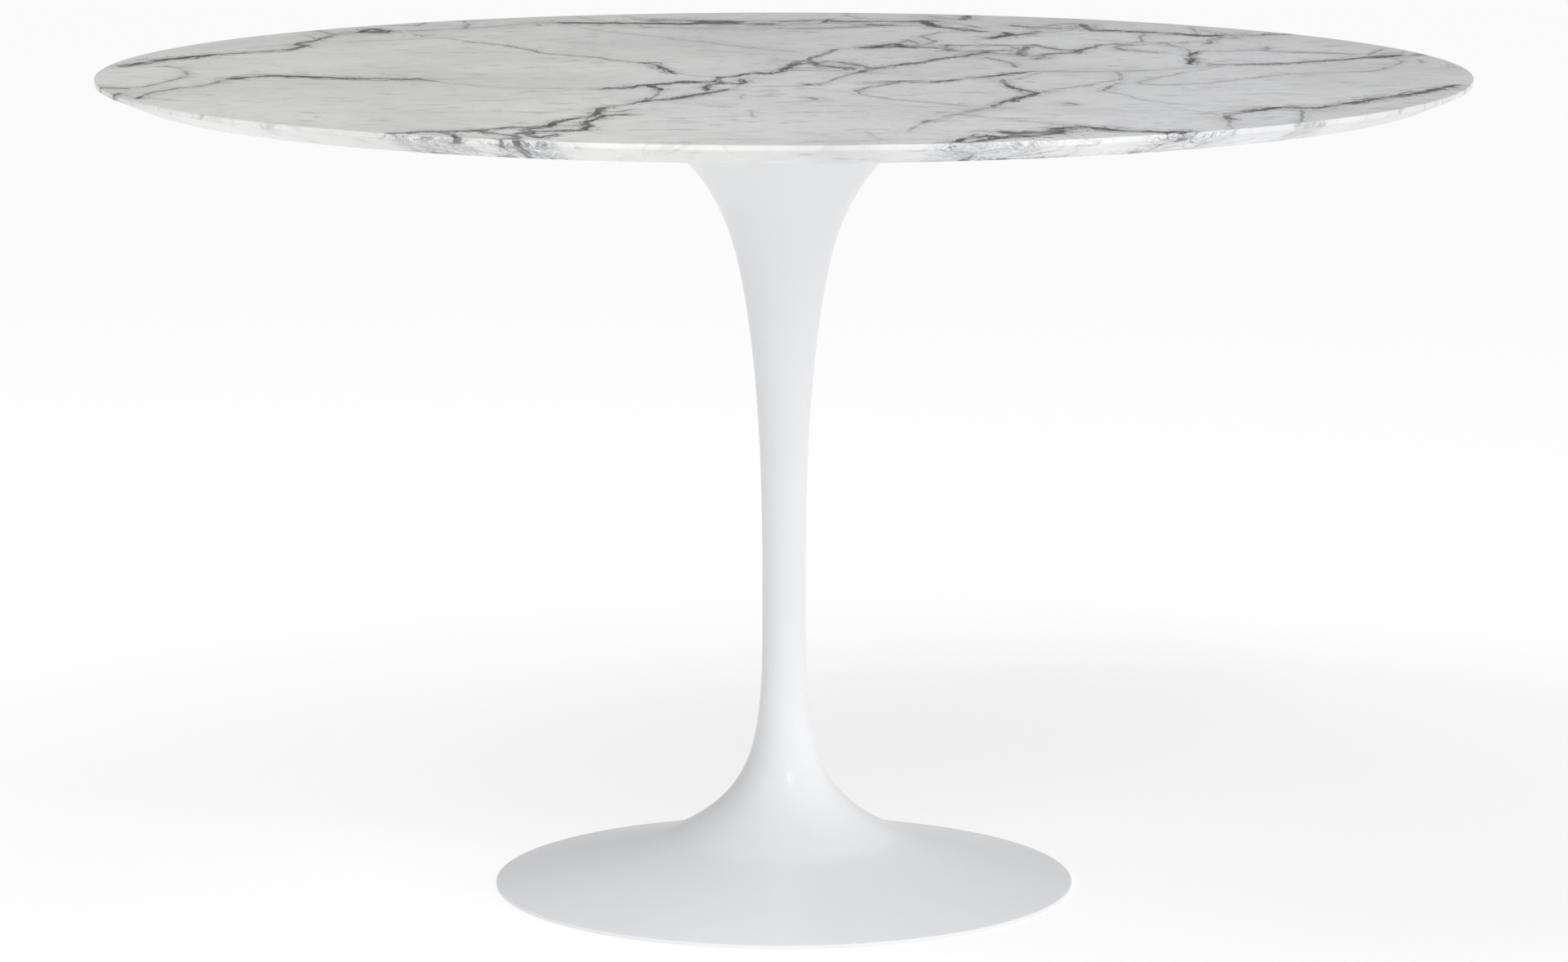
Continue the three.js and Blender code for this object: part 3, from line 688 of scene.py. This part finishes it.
    (2.6, 0.28, 0.0, [(-97, -258), (-80, -280), (-58, -286)]),
]

# Soft grey smudges in the stone: middle, radius, strength. The last three, broad ones along the back, are
# painted shade that darkens the back of the top.
smudgesAndBackShade = [
    ((-345, 40), 38, 0.3),
    ((-290, 0), 26, 0.2),
    ((-520, 60), 30, 0.2),
    ((-10, 205), 30, 0.25),
    ((205, 150), 34, 0.3),
    ((420, 320), 30, 0.3),
    ((250, -60), 40, 0.14),
    ((250, -440), 50, 0.12),
    ((-60, 560), 60, 0.2),
    ((90, 560), 50, 0.25),
    ((230, 470), 40, 0.2),
    ((540, 40), 34, 0.16),
    # painted shade: broad darkening along the back of the top
    ((0, 590), 130, 0.3),
    ((330, 480), 120, 0.28),
    ((-300, 500), 120, 0.2),
]

# Blue-grey patches on the edge: bearing and half width in degrees, strength.
rimPatches = [
    (-118.4, 3.0, 0.7),
    (-109.5, 2.3, 0.8),
    (-75.5, 3.8, 0.45),
    (-71.6, 1.4, 0.5),
    (-55.7, 3.2, 0.45),
    (-44.6, 2.2, 0.5),
    (-20, 5, 0.25),
    (25, 4, 0.4),
    (62, 5, 0.45),
    (128, 4, 0.4),
    (168, 5, 0.3),
]


def strayed(line, seed, wander):
    # A drawn vein line, split into short steps that wander a little.
    acrossX, acrossY, over = wander
    points = []
    for (x0, y0), (x1, y1) in zip(line, line[1:]):
        length = math.hypot(x1 - x0, y1 - y0)
        count = max(1, round(length / top["veinStep"]))
        points += [(x0 + (x1 - x0) * k / count, y0 + (y1 - y0) * k / count) for k in range(count)]
    points.append(line[-1])
    moved = []
    for x, y in points:
        stray = noise.noise_vector(Vector((x / over, y / over, seed)))
        stray += 0.4 * noise.noise_vector(Vector((3 * x / over, 3 * y / over, seed + 40)))
        moved.append((x + acrossX * stray.x, y + acrossY * stray.y))
    return np.array(moved)


def drawnVeins():
    # Every vein as (half width, darkness, warmth, line), with the thin strands that cross the strong ones.
    noise.seed_set(top["seed"])
    drawn = []
    for seed, (halfWidth, darkness, warmth, line) in enumerate(veins):
        drawn.append((halfWidth, darkness, warmth, strayed(line, seed, top["wander"])))
        if darkness < top["strandFrom"] or len(line) < 3:
            continue
        for k in range(1, top["strands"] + 1):
            strand = strayed(line, seed + 500 * k, top["strandWander"])
            width = max(top["strandThinnest"], halfWidth * top["strandWidth"])
            drawn.append((width, darkness * top["strandTone"], warmth, strand))
    return drawn


def distanceTo(points, line):
    # How far each point is from a line of short steps.
    start = line[:-1]
    along = line[1:] - start
    lengths = np.maximum((along**2).sum(1), 1e-9)
    gap = points[:, None, :] - start[None]
    share = np.clip((gap * along[None]).sum(2) / lengths, 0, 1)
    return np.sqrt(((gap - share[..., None] * along[None]) ** 2).sum(2)).min(1)


def veinShading(points, drawn):
    # For each point: distance to the vein that shows most, in its half widths, its darkness and its warmth.
    far = float(top["veinEdge"])
    reach = np.full(len(points), far)
    tone = np.zeros(len(points))
    warmth = np.zeros(len(points))
    shown = np.zeros(len(points))
    for halfWidth, darkness, warm, line in drawn:
        margin = halfWidth * far
        low, high = line.min(0) - margin, line.max(0) + margin
        near = np.flatnonzero(((points > low) & (points < high)).all(1))
        if not len(near):
            continue
        away = np.minimum(distanceTo(points[near], line) / halfWidth, far)
        show = darkness * np.exp(-0.7 * away)
        better = show > shown[near]
        chosen = near[better]
        shown[chosen] = show[better]
        reach[chosen] = away[better]
        tone[chosen] = darkness
        warmth[chosen] = warm
    # grey smudges in the stone, and the painted shade along the back of the top
    cloud = np.zeros(len(points))
    for centre, radius, strength in smudgesAndBackShade:
        away = np.hypot(points[:, 0] - centre[0], points[:, 1] - centre[1]) / radius
        cloud = np.maximum(cloud, strength * np.exp(-away * away))
    return {"veinReach": reach, "veinTone": tone, "veinWarmth": warmth, "greyCloudAndBackShade": cloud}


def rimShading(points, heights, face):
    # Patches that only show on the edge, below the top face.
    bearing = np.degrees(np.arctan2(points[:, 1], points[:, 0]))
    patch = np.zeros(len(points))
    for centre, halfWidth, strength in rimPatches:
        away = ((bearing - centre + 180) % 360 - 180) / halfWidth
        patch = np.maximum(patch, strength * np.exp(-(away**4)))
    return patch * (heights < face - top["faceDepth"])


def veinPoints(drawn, limit):
    # Points on and beside every vein, so that the mesh follows it.
    found = []
    for halfWidth, _, _, line in drawn:
        along = np.gradient(line, axis=0)
        along /= np.maximum(np.linalg.norm(along, axis=1, keepdims=True), 1e-9)
        across = np.stack([-along[:, 1], along[:, 0]], axis=1)
        for step in top["veinRows"]:
            found.append(line + across * halfWidth * step)
    found = np.concatenate(found)
    return found[np.hypot(found[:, 0], found[:, 1]) < limit]


def gridPoints(spacing, limit):
    # Staggered rows of points inside a circle.
    rowHeight = 0.866  # of the spacing, so that the triangles are even
    rows = int(limit / (spacing * rowHeight))
    found = []
    for row in range(-rows, rows + 1):
        shift = spacing / 2 * (row % 2)
        columns = int(limit / spacing) + 1
        for column in range(-columns, columns + 1):
            found.append((column * spacing + shift, row * spacing * rowHeight))
    found = np.array(found)
    return found[np.hypot(found[:, 0], found[:, 1]) < limit]


def thinned(points, closest):
    # Drops points that fall in an already filled cell.
    cells = np.round(points / closest).astype(int)
    _, kept = np.unique(cells, axis=0, return_index=True)
    return points[np.sort(kept)]


def discFaces(rim, inner):
    # Fills a closed rim with triangles through the inner points; the rim comes first in the result.
    count = len(rim)
    places = [Vector(p) for p in (*rim, *inner)]
    edges = [(i, (i + 1) % count) for i in range(count)]
    found, _, faces, origins, *_ = delaunay_2d_cdt(places, edges, [], 1, 1e-5, True)
    order = [next((o for o in origin if o < count), None) for origin in origins]
    newIndex = {}
    extra = []
    for i, rimIndex in enumerate(order):
        if rimIndex is None:
            newIndex[i] = count + len(extra)
            extra.append((found[i].x, found[i].y))
        else:
            newIndex[i] = rimIndex
    return extra, [[newIndex[v] for v in face] for face in faces]


def marbleSlab():
    low, high = levels("marble_top")
    radius = outerRadius("marble_top")
    edge = [(radius, high), (radius, high - top["edgeFace"]), (radius - top["bevelRun"], low)]
    under = (radius - top["bevelRun"] - top["underBand"], low)
    flat = radius - 2 * top["arris"]
    profile = eased([(flat - top["faceBand"], high), *edge, under], top["arris"], 4)
    count = top["around"]
    turns = [2 * math.pi * i / count for i in range(count)]
    rings = [[(r * math.cos(a), r * math.sin(a)) for a in turns] for r, _ in profile]
    vertices = []
    faces = []
    for ring, (_, height) in zip(rings, profile):
        vertices += [(x, y, height) for x, y in ring]
    for k in range(len(profile) - 1):
        for i in range(count):
            j = (i + 1) % count
            faces.append([k * count + i, (k + 1) * count + i, (k + 1) * count + j, k * count + j])
    drawn = drawnVeins()
    upperLimit = profile[0][0] - top["faceMargin"]
    upper = np.concatenate([veinPoints(drawn, upperLimit), gridPoints(top["grid"], upperLimit)])
    upper = thinned(upper, top["closest"])
    lowerLimit = profile[-1][0] - top["underMargin"]
    for ringStart, ring, inner, height, turned in (
        (0, rings[0], upper, high, False),
        ((len(profile) - 1) * count, rings[-1], gridPoints(top["underGrid"], lowerLimit), low, True),
    ):
        extra, discs = discFaces(ring, inner)
        offset = len(vertices)
        vertices += [(x, y, height) for x, y in extra]
        for face in discs:
            face = [v + ringStart if v < count else v - count + offset for v in face]
            faces.append(face[::-1] if turned else face)
    piece = meshObject("marbleSlab", vertices, faces, top["crease"])
    places = np.array(vertices)
    shading = veinShading(places[:, :2], drawn)
    onEdge = places[:, 2] < high - top["faceDepth"]
    shading["veinTone"] = np.where(onEdge, top["rimTone"], 1) * shading["veinTone"]
    shading["rimPatch"] = rimShading(places[:, :2], places[:, 2], high)
    for name, values in shading.items():
        layer = piece.data.attributes.new(name, "FLOAT", "POINT")
        layer.data.foreach_set("value", values.astype(np.float32))
    settle(piece, finishes["marble"], "marble", "marble_top")


marbleSlab()
print("marble top cut, veins drawn:", len(veins))


pedestal = {
    "mouth": 278,  # diameter where the pedestal meets the plate
    "mouthLean": 62.6,  # leans are from the upright, falls below the level
    "mouthReach": 82,
    "neckDrop": 156.6,
    "neckFlare": 15.8,
    "neckLean": 9.5,
    "neckUp": 69,
    "neckDown": 85,
    "waist": 38.4,  # diameter
    "waistTop": 270,
    "waistBottom": 236,
    "waistUp": 83,
    "waistDown": 118,
    "knee": 206,
    "kneeHeight": 45,
    "kneeFall": 27.2,
    "kneeUp": 83.6,
    "kneeDown": 19,
    "rimLift": 0.4,
    "rimEdge": 3,  # height of the upright edge
    "rimEase": 0.6,
    "rimIn": 3,  # a point of the level face that the lower rounding runs into
    "rimFall": 13.7,
    "rimReach": 39,
    "rimLand": 20,  # where the hollow starts, in from the rim
    "wall": 5.5,
    "flange": 12,
    "bore": 80,
    "grooveGap": 0.3,  # round the rubber ring
    "boss": 20,
    "bossGap": 0.3,  # above the ballast
    "bossRise": 18,  # above the knee, before it is trimmed
    "trimBelow": 3,  # how far the trim goes on under and over the bosses
    "trimAbove": 5,
    "boltHole": 4.3,  # radius
    "around": 192,
}
ring = {  # the rubber ring under the rim, on three ribs that bear on the floor
    "width": 8,
    "ribs": 3,
    "ribHeight": 0.7,
    "ribSpacing": 2.4,
    "firstRib": 0.6,
    "edge": 0.25,
    "around": 192,
}


def polar(angle, reach):
    return reach * math.sin(math.radians(angle)), reach * math.cos(math.radians(angle))


def pedestalOutline(rimRadius, mouthTop):
    # The outer outline from the mouth down to the top of the rim's edge.
    size = pedestal
    mouthRadius = size["mouth"] / 2
    waistRadius = size["waist"] / 2
    neckRadius = waistRadius + size["neckFlare"]
    neckHeight = mouthTop - size["neckDrop"]
    kneeRadius = size["knee"] / 2
    rimTop = size["rimLift"] + size["rimEdge"]
    mouthIn, mouthDown = polar(size["mouthLean"], size["mouthReach"])
    neckOut, neckUp = polar(size["neckLean"], size["neckUp"])
    neckIn, neckDown = polar(size["neckLean"], size["neckDown"])
    kneeRise, kneeIn = polar(size["kneeFall"], size["kneeUp"])
    kneeSink, kneeOut = polar(size["kneeFall"], size["kneeDown"])
    rimRise, rimIn = polar(size["rimFall"], size["rimReach"])
    mouthCurve = bezier(
        (mouthRadius, mouthTop),
        (mouthRadius - mouthIn, mouthTop - mouthDown),
        (neckRadius + neckOut, neckHeight + neckUp),
        (neckRadius, neckHeight),
        26,
    )
    neckCurve = bezier(
        (neckRadius, neckHeight),
        (neckRadius - neckIn, neckHeight - neckDown),
        (waistRadius, size["waistTop"] + size["waistUp"]),
        (waistRadius, size["waistTop"]),
        22,
    )
    stemCurve = bezier(
        (waistRadius, size["waistBottom"]),
        (waistRadius, size["waistBottom"] - size["waistDown"]),
        (kneeRadius - kneeIn, size["kneeHeight"] + kneeRise),
        (kneeRadius, size["kneeHeight"]),
        40,
    )
    footCurve = bezier(
        (kneeRadius, size["kneeHeight"]),
        (kneeRadius + kneeOut, size["kneeHeight"] - kneeSink),
        (rimRadius - rimIn, rimTop + rimRise),
        (rimRadius, rimTop),
        24,
    )
    return mouthCurve + neckCurve[1:] + stemCurve + footCurve[1:]


def offsetOutline(outline, distance):
    moved = []
    for i, (r, z) in enumerate(outline):
        before = Vector(outline[max(i - 1, 0)])
        after = Vector(outline[min(i + 1, len(outline) - 1)])
        along = (after - before).normalized()
        moved.append((r + along.y * distance, z - along.x * distance))
    return moved


def ballastBosses(outer):
    # Four hollow posts for the ballast's bolts, trimmed so that they end inside the wall.
    size = pedestal
    bottom = levels("ballast_ring")[1] + size["bossGap"]
    tip = size["kneeHeight"] + size["bossRise"]
    hollow = size["boltHole"]
    post = [(hollow, bottom), (size["boss"] / 2, bottom), (size["boss"] / 2, tip), (hollow, tip)]
    posts = [turnedMesh("boss", post, 48, middle(node), closed=True) for node in numbered("ballast_bolt")]
    skin = offsetOutline(outer, size["wall"] / 3)
    skin = [p for p in skin if bottom - size["trimBelow"] < p[1] < tip + size["trimAbove"]]
    trim = turnedMesh("trim", [(0, skin[0][1]), *skin, (0, skin[-1][1])], size["around"])
    return shaped(posts[0], [*(("UNION", other) for other in posts[1:]), ("INTERSECT", trim)])


def pedestalBody():
    size = pedestal
    _, mouthTop = levels("pedestal_casting")
    rimRadius = outerRadius("pedestal_casting")
    outer = pedestalOutline(rimRadius, mouthTop)
    inner = offsetOutline(outer, size["wall"])
    flangeBottom = mouthTop - size["flange"]
    landRadius = rimRadius - size["rimLand"]
    bottom = size["rimLift"]
    grooveTop = levels("floor_ring")[1] + size["grooveGap"]
    grooveOuter = outerRadius("floor_ring") + size["grooveGap"]
    grooveInner = grooveOuter - ring["width"] - 2 * size["grooveGap"]
    corners = [outer[-2], outer[-1], (rimRadius, bottom), (rimRadius - size["rimIn"], bottom)]
    rimEdge = eased(corners, size["rimEase"], 4)[1:]
    groove = [(grooveOuter, bottom), (grooveOuter, grooveTop)]
    groove += [(grooveInner, grooveTop), (grooveInner, bottom)]
    hollow = [p for p in inner if p[1] < flangeBottom and p[0] < landRadius and p[1] > bottom + 1]
    hollow = hollow[::-2]  # from the rim up, every second point
    below = [(landRadius, bottom), (landRadius, hollow[0][1])]
    throat = [
        (hollow[-1][0], flangeBottom),
        (size["bore"] / 2, flangeBottom),
        (size["bore"] / 2, mouthTop),
    ]
    outline = outer[:-1] + rimEdge + groove + below + hollow + throat
    piece = turnedMesh("trumpetPedestal", outline, size["around"], closed=True)
    places = [middle(node) for node in numbered("plate_screw")]
    screwHoles = [hole(size["boltHole"], flangeBottom - 1, mouthTop + 1, at) for at in places]
    shaped(piece, [("UNION", ballastBosses(outer)), *(("DIFFERENCE", cutter) for cutter in screwHoles)])
    settle(piece, finishes["lacquer"], "lacquer", "pedestal_casting")


pedestalBody()
print("pedestal turned")


def floorRing():
    low, high = levels("floor_ring")
    outer = outerRadius("floor_ring")
    inner = outer - ring["width"]
    base = low + ring["ribHeight"]
    ribs = []
    for k in range(ring["ribs"]):
        start = inner + ring["firstRib"] + k * ring["ribSpacing"]
        ribs += [(start, base), (start + 0.4, low), (start + 1.6, low), (start + 2.0, base)]
    outline = [(inner, base), *ribs, (outer, base), (outer, high), (inner, high)]
    piece = turnedMesh("floorRing", eased(outline, ring["edge"], 2, closed=True), ring["around"], closed=True)
    settle(piece, finishes["rubber"], "rubber", "floor_ring")


# Holes are given by their radius.
plate = {
    "bore": 70,  # diameter
    "screwHole": 4.5,
    "sinkHole": 7.5,
    "sinkDepth": 3.3,
    "sinkLand": 0.3,  # straight part over the cone
    "edge": 0.6,
    "around": 160,
}
backing = {
    "chamfer": 3,
    "edge": 0.5,
    "socket": 6.3,
    "socketGap": 0.3,  # over the insert
    "socketFlange": 8.3,
    "flangeDepth": 1.5,
    "around": 160,
}


def backingDisc():
    low, high = levels("backing_disc")
    radius = outerRadius("backing_disc")
    chamfer = backing["chamfer"]
    outline = [(0, low), (radius - chamfer, low), (radius, low + chamfer), (radius, high), (0, high)]
    piece = turnedMesh("backingDisc", eased(outline, backing["edge"], 2), backing["around"])
    cutters = []
    for node in numbered("threaded_insert"):
        insertLow, insertHigh = levels(node)
        flangeTop = insertLow + backing["flangeDepth"]
        cutters.append(hole(backing["socket"], low - 1, insertHigh + backing["socketGap"], middle(node)))
        cutters.append(hole(backing["socketFlange"], low - 1, flangeTop, middle(node)))
    cutAway(piece, cutters)
    settle(piece, finishes["plywood"], "plywood", "backing_disc")


def mountingPlate():
    low, high = levels("mounting_plate")
    radius = outerRadius("mounting_plate")
    outline = [(plate["bore"] / 2, low), (radius, low), (radius, high), (plate["bore"] / 2, high)]
    outline = eased(outline, plate["edge"], 3, closed=True)
    piece = turnedMesh("mountingPlate", outline, plate["around"], closed=True)
    cutters = []
    for node in numbered("top_screw") + numbered("plate_screw"):
        cutters.append(hole(plate["screwHole"], low - 1, high + 1, middle(node), holeTurn))
    for node in numbered("plate_screw"):
        bottom = high - plate["sinkDepth"]
        sink = [(0, bottom), (plate["screwHole"], bottom), (plate["sinkHole"], high - plate["sinkLand"])]
        sink += [(plate["sinkHole"], high + 1), (0, high + 1)]
        cutters.append(turnedMesh("sink", sink, 48, middle(node)))
    cutAway(piece, cutters)
    settle(piece, finishes["blackSteel"], "black_steel", "mounting_plate")


screws = {
    "thread": 1.25,  # pitch
    "threadDepth": 0.6,
    "around": 48,
    "m8": {"shank": 8, "head": 14, "headHeight": 4.4, "socket": 5, "socketDepth": 2.6},
    "m6": {"shank": 6, "head": 10.5, "headHeight": 2.5, "socket": 4, "socketDepth": 1.5},
}


def threadRings(radius, bottom, tip):
    # Rings for a screw thread between two heights, fading out at both ends.
    step = screws["thread"] / 4
    count = max(2, int((tip - bottom) / step))
    rings = []
    for k in range(count + 1):
        height = bottom + (tip - bottom) * k / count
        fade = min(1, k / 4, (count - k) / 4)
        rings.append((radius, height, ("thread", screws["threadDepth"] * fade, screws["thread"])))
    return rings


def buttonHead(size, seat):
    # Outline of a domed socket head that hangs below its seat.
    face = seat - size["headHeight"]
    flat = ("hex",)
    radius = size["head"] / 2
    dome = bezier(
        (radius * 0.62, face),
        (radius * 0.84, face + 0.1),
        (radius, face + size["headHeight"] * 0.4),
        (radius, seat - size["headHeight"] * 0.2),
        7,
    )
    return [
        (0, face + size["socketDepth"] + 0.5),
        (size["socket"] / 2, face + size["socketDepth"], flat),
        (size["socket"] / 2, face + 0.3, flat),
        (size["socket"] / 2 + 0.25, face, flat),
        *dome,
        (radius, seat - 0.25),
        (radius - 0.25, seat),
    ]


def buttonScrew(name, size, at, seat, tip, finish, slot, node):
    radius = size["shank"] / 2
    outline = buttonHead(size, seat)
    outline += threadRings(radius, seat + 0.02, tip - 0.9)
    outline += [(radius - 0.8, tip), (0, tip)]
    piece = turnedMesh(name, outline, screws["around"], at)
    settle(piece, finish, slot, node)


def flatScrew(name, size, at, faceHeight, tip, finish, slot, node):
    radius = size["shank"] / 2
    head = size["head"] / 2
    outline = [
        (0, faceHeight - size["socketDepth"] - 0.5),
        (size["socket"] / 2, faceHeight - size["socketDepth"], ("hex",)),
        (size["socket"] / 2, faceHeight - 0.3, ("hex",)),
        (size["socket"] / 2 + 0.25, faceHeight, ("hex",)),
        (head - 0.2, faceHeight),
        (head, faceHeight - 0.2),
        (head, faceHeight - 0.3),
        (radius, faceHeight - 0.3 - (head - radius)),
    ]
    shank = threadRings(radius, tip + 0.9, faceHeight - 0.4 - (head - radius))
    outline += shank[::-1]
    outline += [(radius - 0.8, tip), (0, tip)]
    piece = turnedMesh(name, outline, screws["around"], at)
    settle(piece, finish, slot, node)


# Radii, apart from the heights and the thread.
insert = {
    "bore": 4.3,
    "flange": 8,
    "flangeHeight": 1.2,
    "edge": 0.2,
    "shell": 6,
    "tip": 5.2,
    "pitch": 2.5,
    "threadDepth": 0.7,
    "threadStep": 0.5,
    "threadRings": 21,
}
washer = {"bore": 4.5, "outer": 10, "edge": 0.3, "around": 64}


def threadedInsert(name, node):
    # A flanged sleeve with a coarse outer thread that bites the wood.
    low, high = levels(node)
    bore, flange, edge = insert["bore"], insert["flange"], insert["edge"]
    flangeTop = low + insert["flangeHeight"]
    outline = [(bore, low + edge), (bore + 0.3, low), (flange - edge, low), (flange, low + edge)]
    outline += [(flange, flangeTop - edge), (flange - edge, flangeTop)]
    for k in range(insert["threadRings"]):
        thread = ("thread", insert["threadDepth"] * min(1, k / 4), insert["pitch"])
        outline.append((insert["shell"], flangeTop + 0.05 + insert["threadStep"] * k, thread))
    outline += [(insert["tip"], high), (bore + 0.3, high), (bore, high - 0.3)]
    piece = turnedMesh(name, outline, screws["around"], middle(node), closed=True)
    settle(piece, finishes["brass"], "brass", node)


def topWasher(name, node):
    low, high = levels(node)
    bore, outer = washer["bore"], washer["outer"]
    outline = eased([(bore, low), (outer, low), (outer, high), (bore, high)], washer["edge"], 3, closed=True)
    piece = turnedMesh(name, outline, washer["around"], middle(node), closed=True)
    settle(piece, finishes["zinc"], "zinc", node)


def topFasteners():
    for i, node in enumerate(numbered("top_screw"), 1):
        low, high = levels(node)
        seat = low + screws["m8"]["headHeight"]
        buttonScrew(f"topScrew{i}", screws["m8"], middle(node), seat, high, finishes["zinc"], "zinc", node)
    for i, node in enumerate(numbered("plate_screw"), 1):
        low, high = levels(node)
        flatScrew(f"plateScrew{i}", screws["m8"], middle(node), high, low, finishes["zinc"], "zinc", node)
    for i, node in enumerate(numbered("threaded_insert"), 1):
        threadedInsert(f"threadedInsert{i}", node)
    for i, node in enumerate(numbered("top_washer"), 1):
        topWasher(f"topWasher{i}", node)


backingDisc()
mountingPlate()
topFasteners()
print("plate, disc and top fasteners made")


cover = {"screwHole": 3.5, "edge": 0.4, "around": 192}
ballast = {
    "inner": 110,  # diameter
    "edge": 1.2,
    "boltHole": 4.5,
    "headPocket": 7.5,
    "pocketDepth": 4.7,
    "coverHole": 3.2,
    "coverDepth": 8,
    "around": 128,
}


def ballastRing():
    low, high = levels("ballast_ring")
    radius = outerRadius("ballast_ring")
    outline = [(ballast["inner"] / 2, low), (radius, low), (radius, high), (ballast["inner"] / 2, high)]
    outline = eased(outline, ballast["edge"], 3, closed=True)
    piece = turnedMesh("ballastRing", outline, ballast["around"], closed=True)
    cutters = []
    for node in numbered("ballast_bolt"):
        cutters.append(hole(ballast["boltHole"], low - 1, high + 1, middle(node)))
        cutters.append(hole(ballast["headPocket"], low - 1, low + ballast["pocketDepth"], middle(node)))
    for node in numbered("cover_screw"):
        cutters.append(hole(ballast["coverHole"], low - 1, low + ballast["coverDepth"], middle(node)))
    cutAway(piece, cutters)
    settle(piece, finishes["iron"], "iron", "ballast_ring")


def underCover():
    low, high = levels("under_cover")
    radius = outerRadius("under_cover")
    outline = [(0, low), (radius, low), (radius, high), (0, high)]
    piece = turnedMesh("underCover", eased(outline, cover["edge"], 3), cover["around"])
    places = [middle(node) for node in numbered("cover_screw")]
    cutters = [hole(cover["screwHole"], low - 1, high + 1, at, holeTurn) for at in places]
    cutAway(piece, cutters)
    settle(piece, finishes["blackSteel"], "black_steel", "under_cover")


def footFasteners():
    for i, node in enumerate(numbered("ballast_bolt"), 1):
        low, high = levels(node)
        seat = low + screws["m8"]["headHeight"]
        buttonScrew(f"ballastBolt{i}", screws["m8"], middle(node), seat, high, finishes["zinc"], "zinc", node)
    for i, node in enumerate(numbered("cover_screw"), 1):
        low, high = levels(node)
        seat = low + screws["m6"]["headHeight"]
        name = f"coverScrew{i}"
        buttonScrew(name, screws["m6"], middle(node), seat, high, finishes["blackSteel"], "black_steel", node)


floorRing()
ballastRing()
underCover()
footFasteners()
print("foot filled and closed")


studio = {
    "floorRadius": 30,  # metres
    "floorColour": (0.44, 0.44, 0.44),
    # the floor glows less by the table: painted shade round the table
    "floorGlowShadedNearTable": (0.61, 0.715),  # by the table, and far from it
    "glowReach": (0.45, 1.6),  # distances between which the glow changes
    # the surroundings: direction, and how bright they are that way
    "surroundings": [
        ((0, -1, 0), 1.38),
        ((0, 1, 0), 0.48),
        ((-1, 0, 0), 0.2),
        ((1, 0, 0), 1.62),
        ((0, 0, 1), 0.16),
    ],
    # soft lamps: name, place, size, power
    "lamps": [
        ("keyLight", (0.92, -3.0, 2.9), 0.5, 18),
        ("leftLight", (-1.8, -1.4, 3.2), 1.6, 36),
    ],
    "lampAim": (0, 0, 0.4),
    "lens": 140.943,
    "sensor": 36,
    "cameraPlace": (0, -5.3586, 1.2402),
    "cameraTilt": 9.2967,  # degrees below the level
}


def studioFloor():
    reach = studio["floorRadius"]
    work = bmesh.new()
    bmesh.ops.create_circle(work, cap_ends=True, segments=96, radius=reach)
    mesh = bpy.data.meshes.new("studioFloor")
    work.to_mesh(mesh)
    work.free()
    floor = bpy.data.objects.new("studioFloor", mesh)
    bpy.context.scene.collection.objects.link(floor)
    paint = Finish("studioFloor", **{"Roughness": 0.9, "Specular IOR Level": 0.0})
    paint.surface.inputs["Base Color"].default_value = (*studio["floorColour"], 1)
    paint.surface.inputs["Emission Color"].default_value = (1, 1, 1, 1)
    away = paint.add("ShaderNodeVectorMath", operation="LENGTH")
    paint.fill(away, {0: paint.place})
    # painted shade: the glow is lower near the table than far from it
    glow = paint.ramp(away.outputs["Value"], *studio["glowReach"], *studio["floorGlowShadedNearTable"])
    paint.set("Emission Strength", glow)
    mesh.materials.append(paint.material)


def studioSurroundings():
    # Plain white to the eye; as light, each side has a brightness of its own.
    world = bpy.data.worlds.new("studio")
    world.use_nodes = True
    tree = world.node_tree
    tree.nodes.clear()

    def add(kind, values, **settings):
        node = tree.nodes.new(kind)
        for key, value in settings.items():
            setattr(node, key, value)
        for key, value in values.items():
            if isinstance(value, bpy.types.NodeSocket):
                tree.links.new(value, node.inputs[key])
            else:
                node.inputs[key].default_value = value
        return node

    direction = add("ShaderNodeTexCoord", {}).outputs["Generated"]
    total = 0.0
    for axis, brightness in studio["surroundings"]:
        dot = add("ShaderNodeVectorMath", {0: direction, 1: axis}, operation="DOT_PRODUCT")
        towards = add("ShaderNodeMath", {0: dot.outputs["Value"], 1: 0.0}, operation="MAXIMUM").outputs[0]
        share = add("ShaderNodeMath", {0: towards, 1: 2.0}, operation="POWER").outputs[0]
        added = add("ShaderNodeMath", {0: share, 1: brightness, 2: total}, operation="MULTIPLY_ADD")
        total = added.outputs[0]
    white = (1, 1, 1, 1)
    glow = add("ShaderNodeBackground", {"Color": white, "Strength": total})
    plain = add("ShaderNodeBackground", {"Color": white, "Strength": 1.0})
    seen = add("ShaderNodeLightPath", {}).outputs["Is Camera Ray"]
    choose = add("ShaderNodeMixShader", {0: seen, 1: glow.outputs[0], 2: plain.outputs[0]})
    add("ShaderNodeOutputWorld", {"Surface": choose.outputs[0]})
    bpy.context.scene.world = world


def softLight(name, place, size, power):
    lamp = bpy.data.lights.new(name, "AREA")
    lamp.shape = "DISK"
    lamp.size = size
    lamp.energy = power
    light = bpy.data.objects.new(name, lamp)
    light.location = place
    light.rotation_euler = (Vector(studio["lampAim"]) - Vector(place)).to_track_quat("-Z", "Y").to_euler()
    bpy.context.scene.collection.objects.link(light)


def tableCamera():
    lens = bpy.data.cameras.new("camera")
    lens.lens = studio["lens"]
    lens.sensor_width = studio["sensor"]
    lens.sensor_fit = "HORIZONTAL"
    lens.clip_end = 200
    camera = bpy.data.objects.new("camera", lens)
    camera.location = studio["cameraPlace"]
    camera.rotation_euler = (math.radians(90 - studio["cameraTilt"]), 0, 0)
    bpy.context.scene.collection.objects.link(camera)
    bpy.context.scene.camera = camera


studioFloor()
studioSurroundings()
for name, place, size, power in studio["lamps"]:
    softLight(name, place, size, power)
tableCamera()
bpy.context.scene.view_settings.view_transform = "Standard"
print("studio lit")
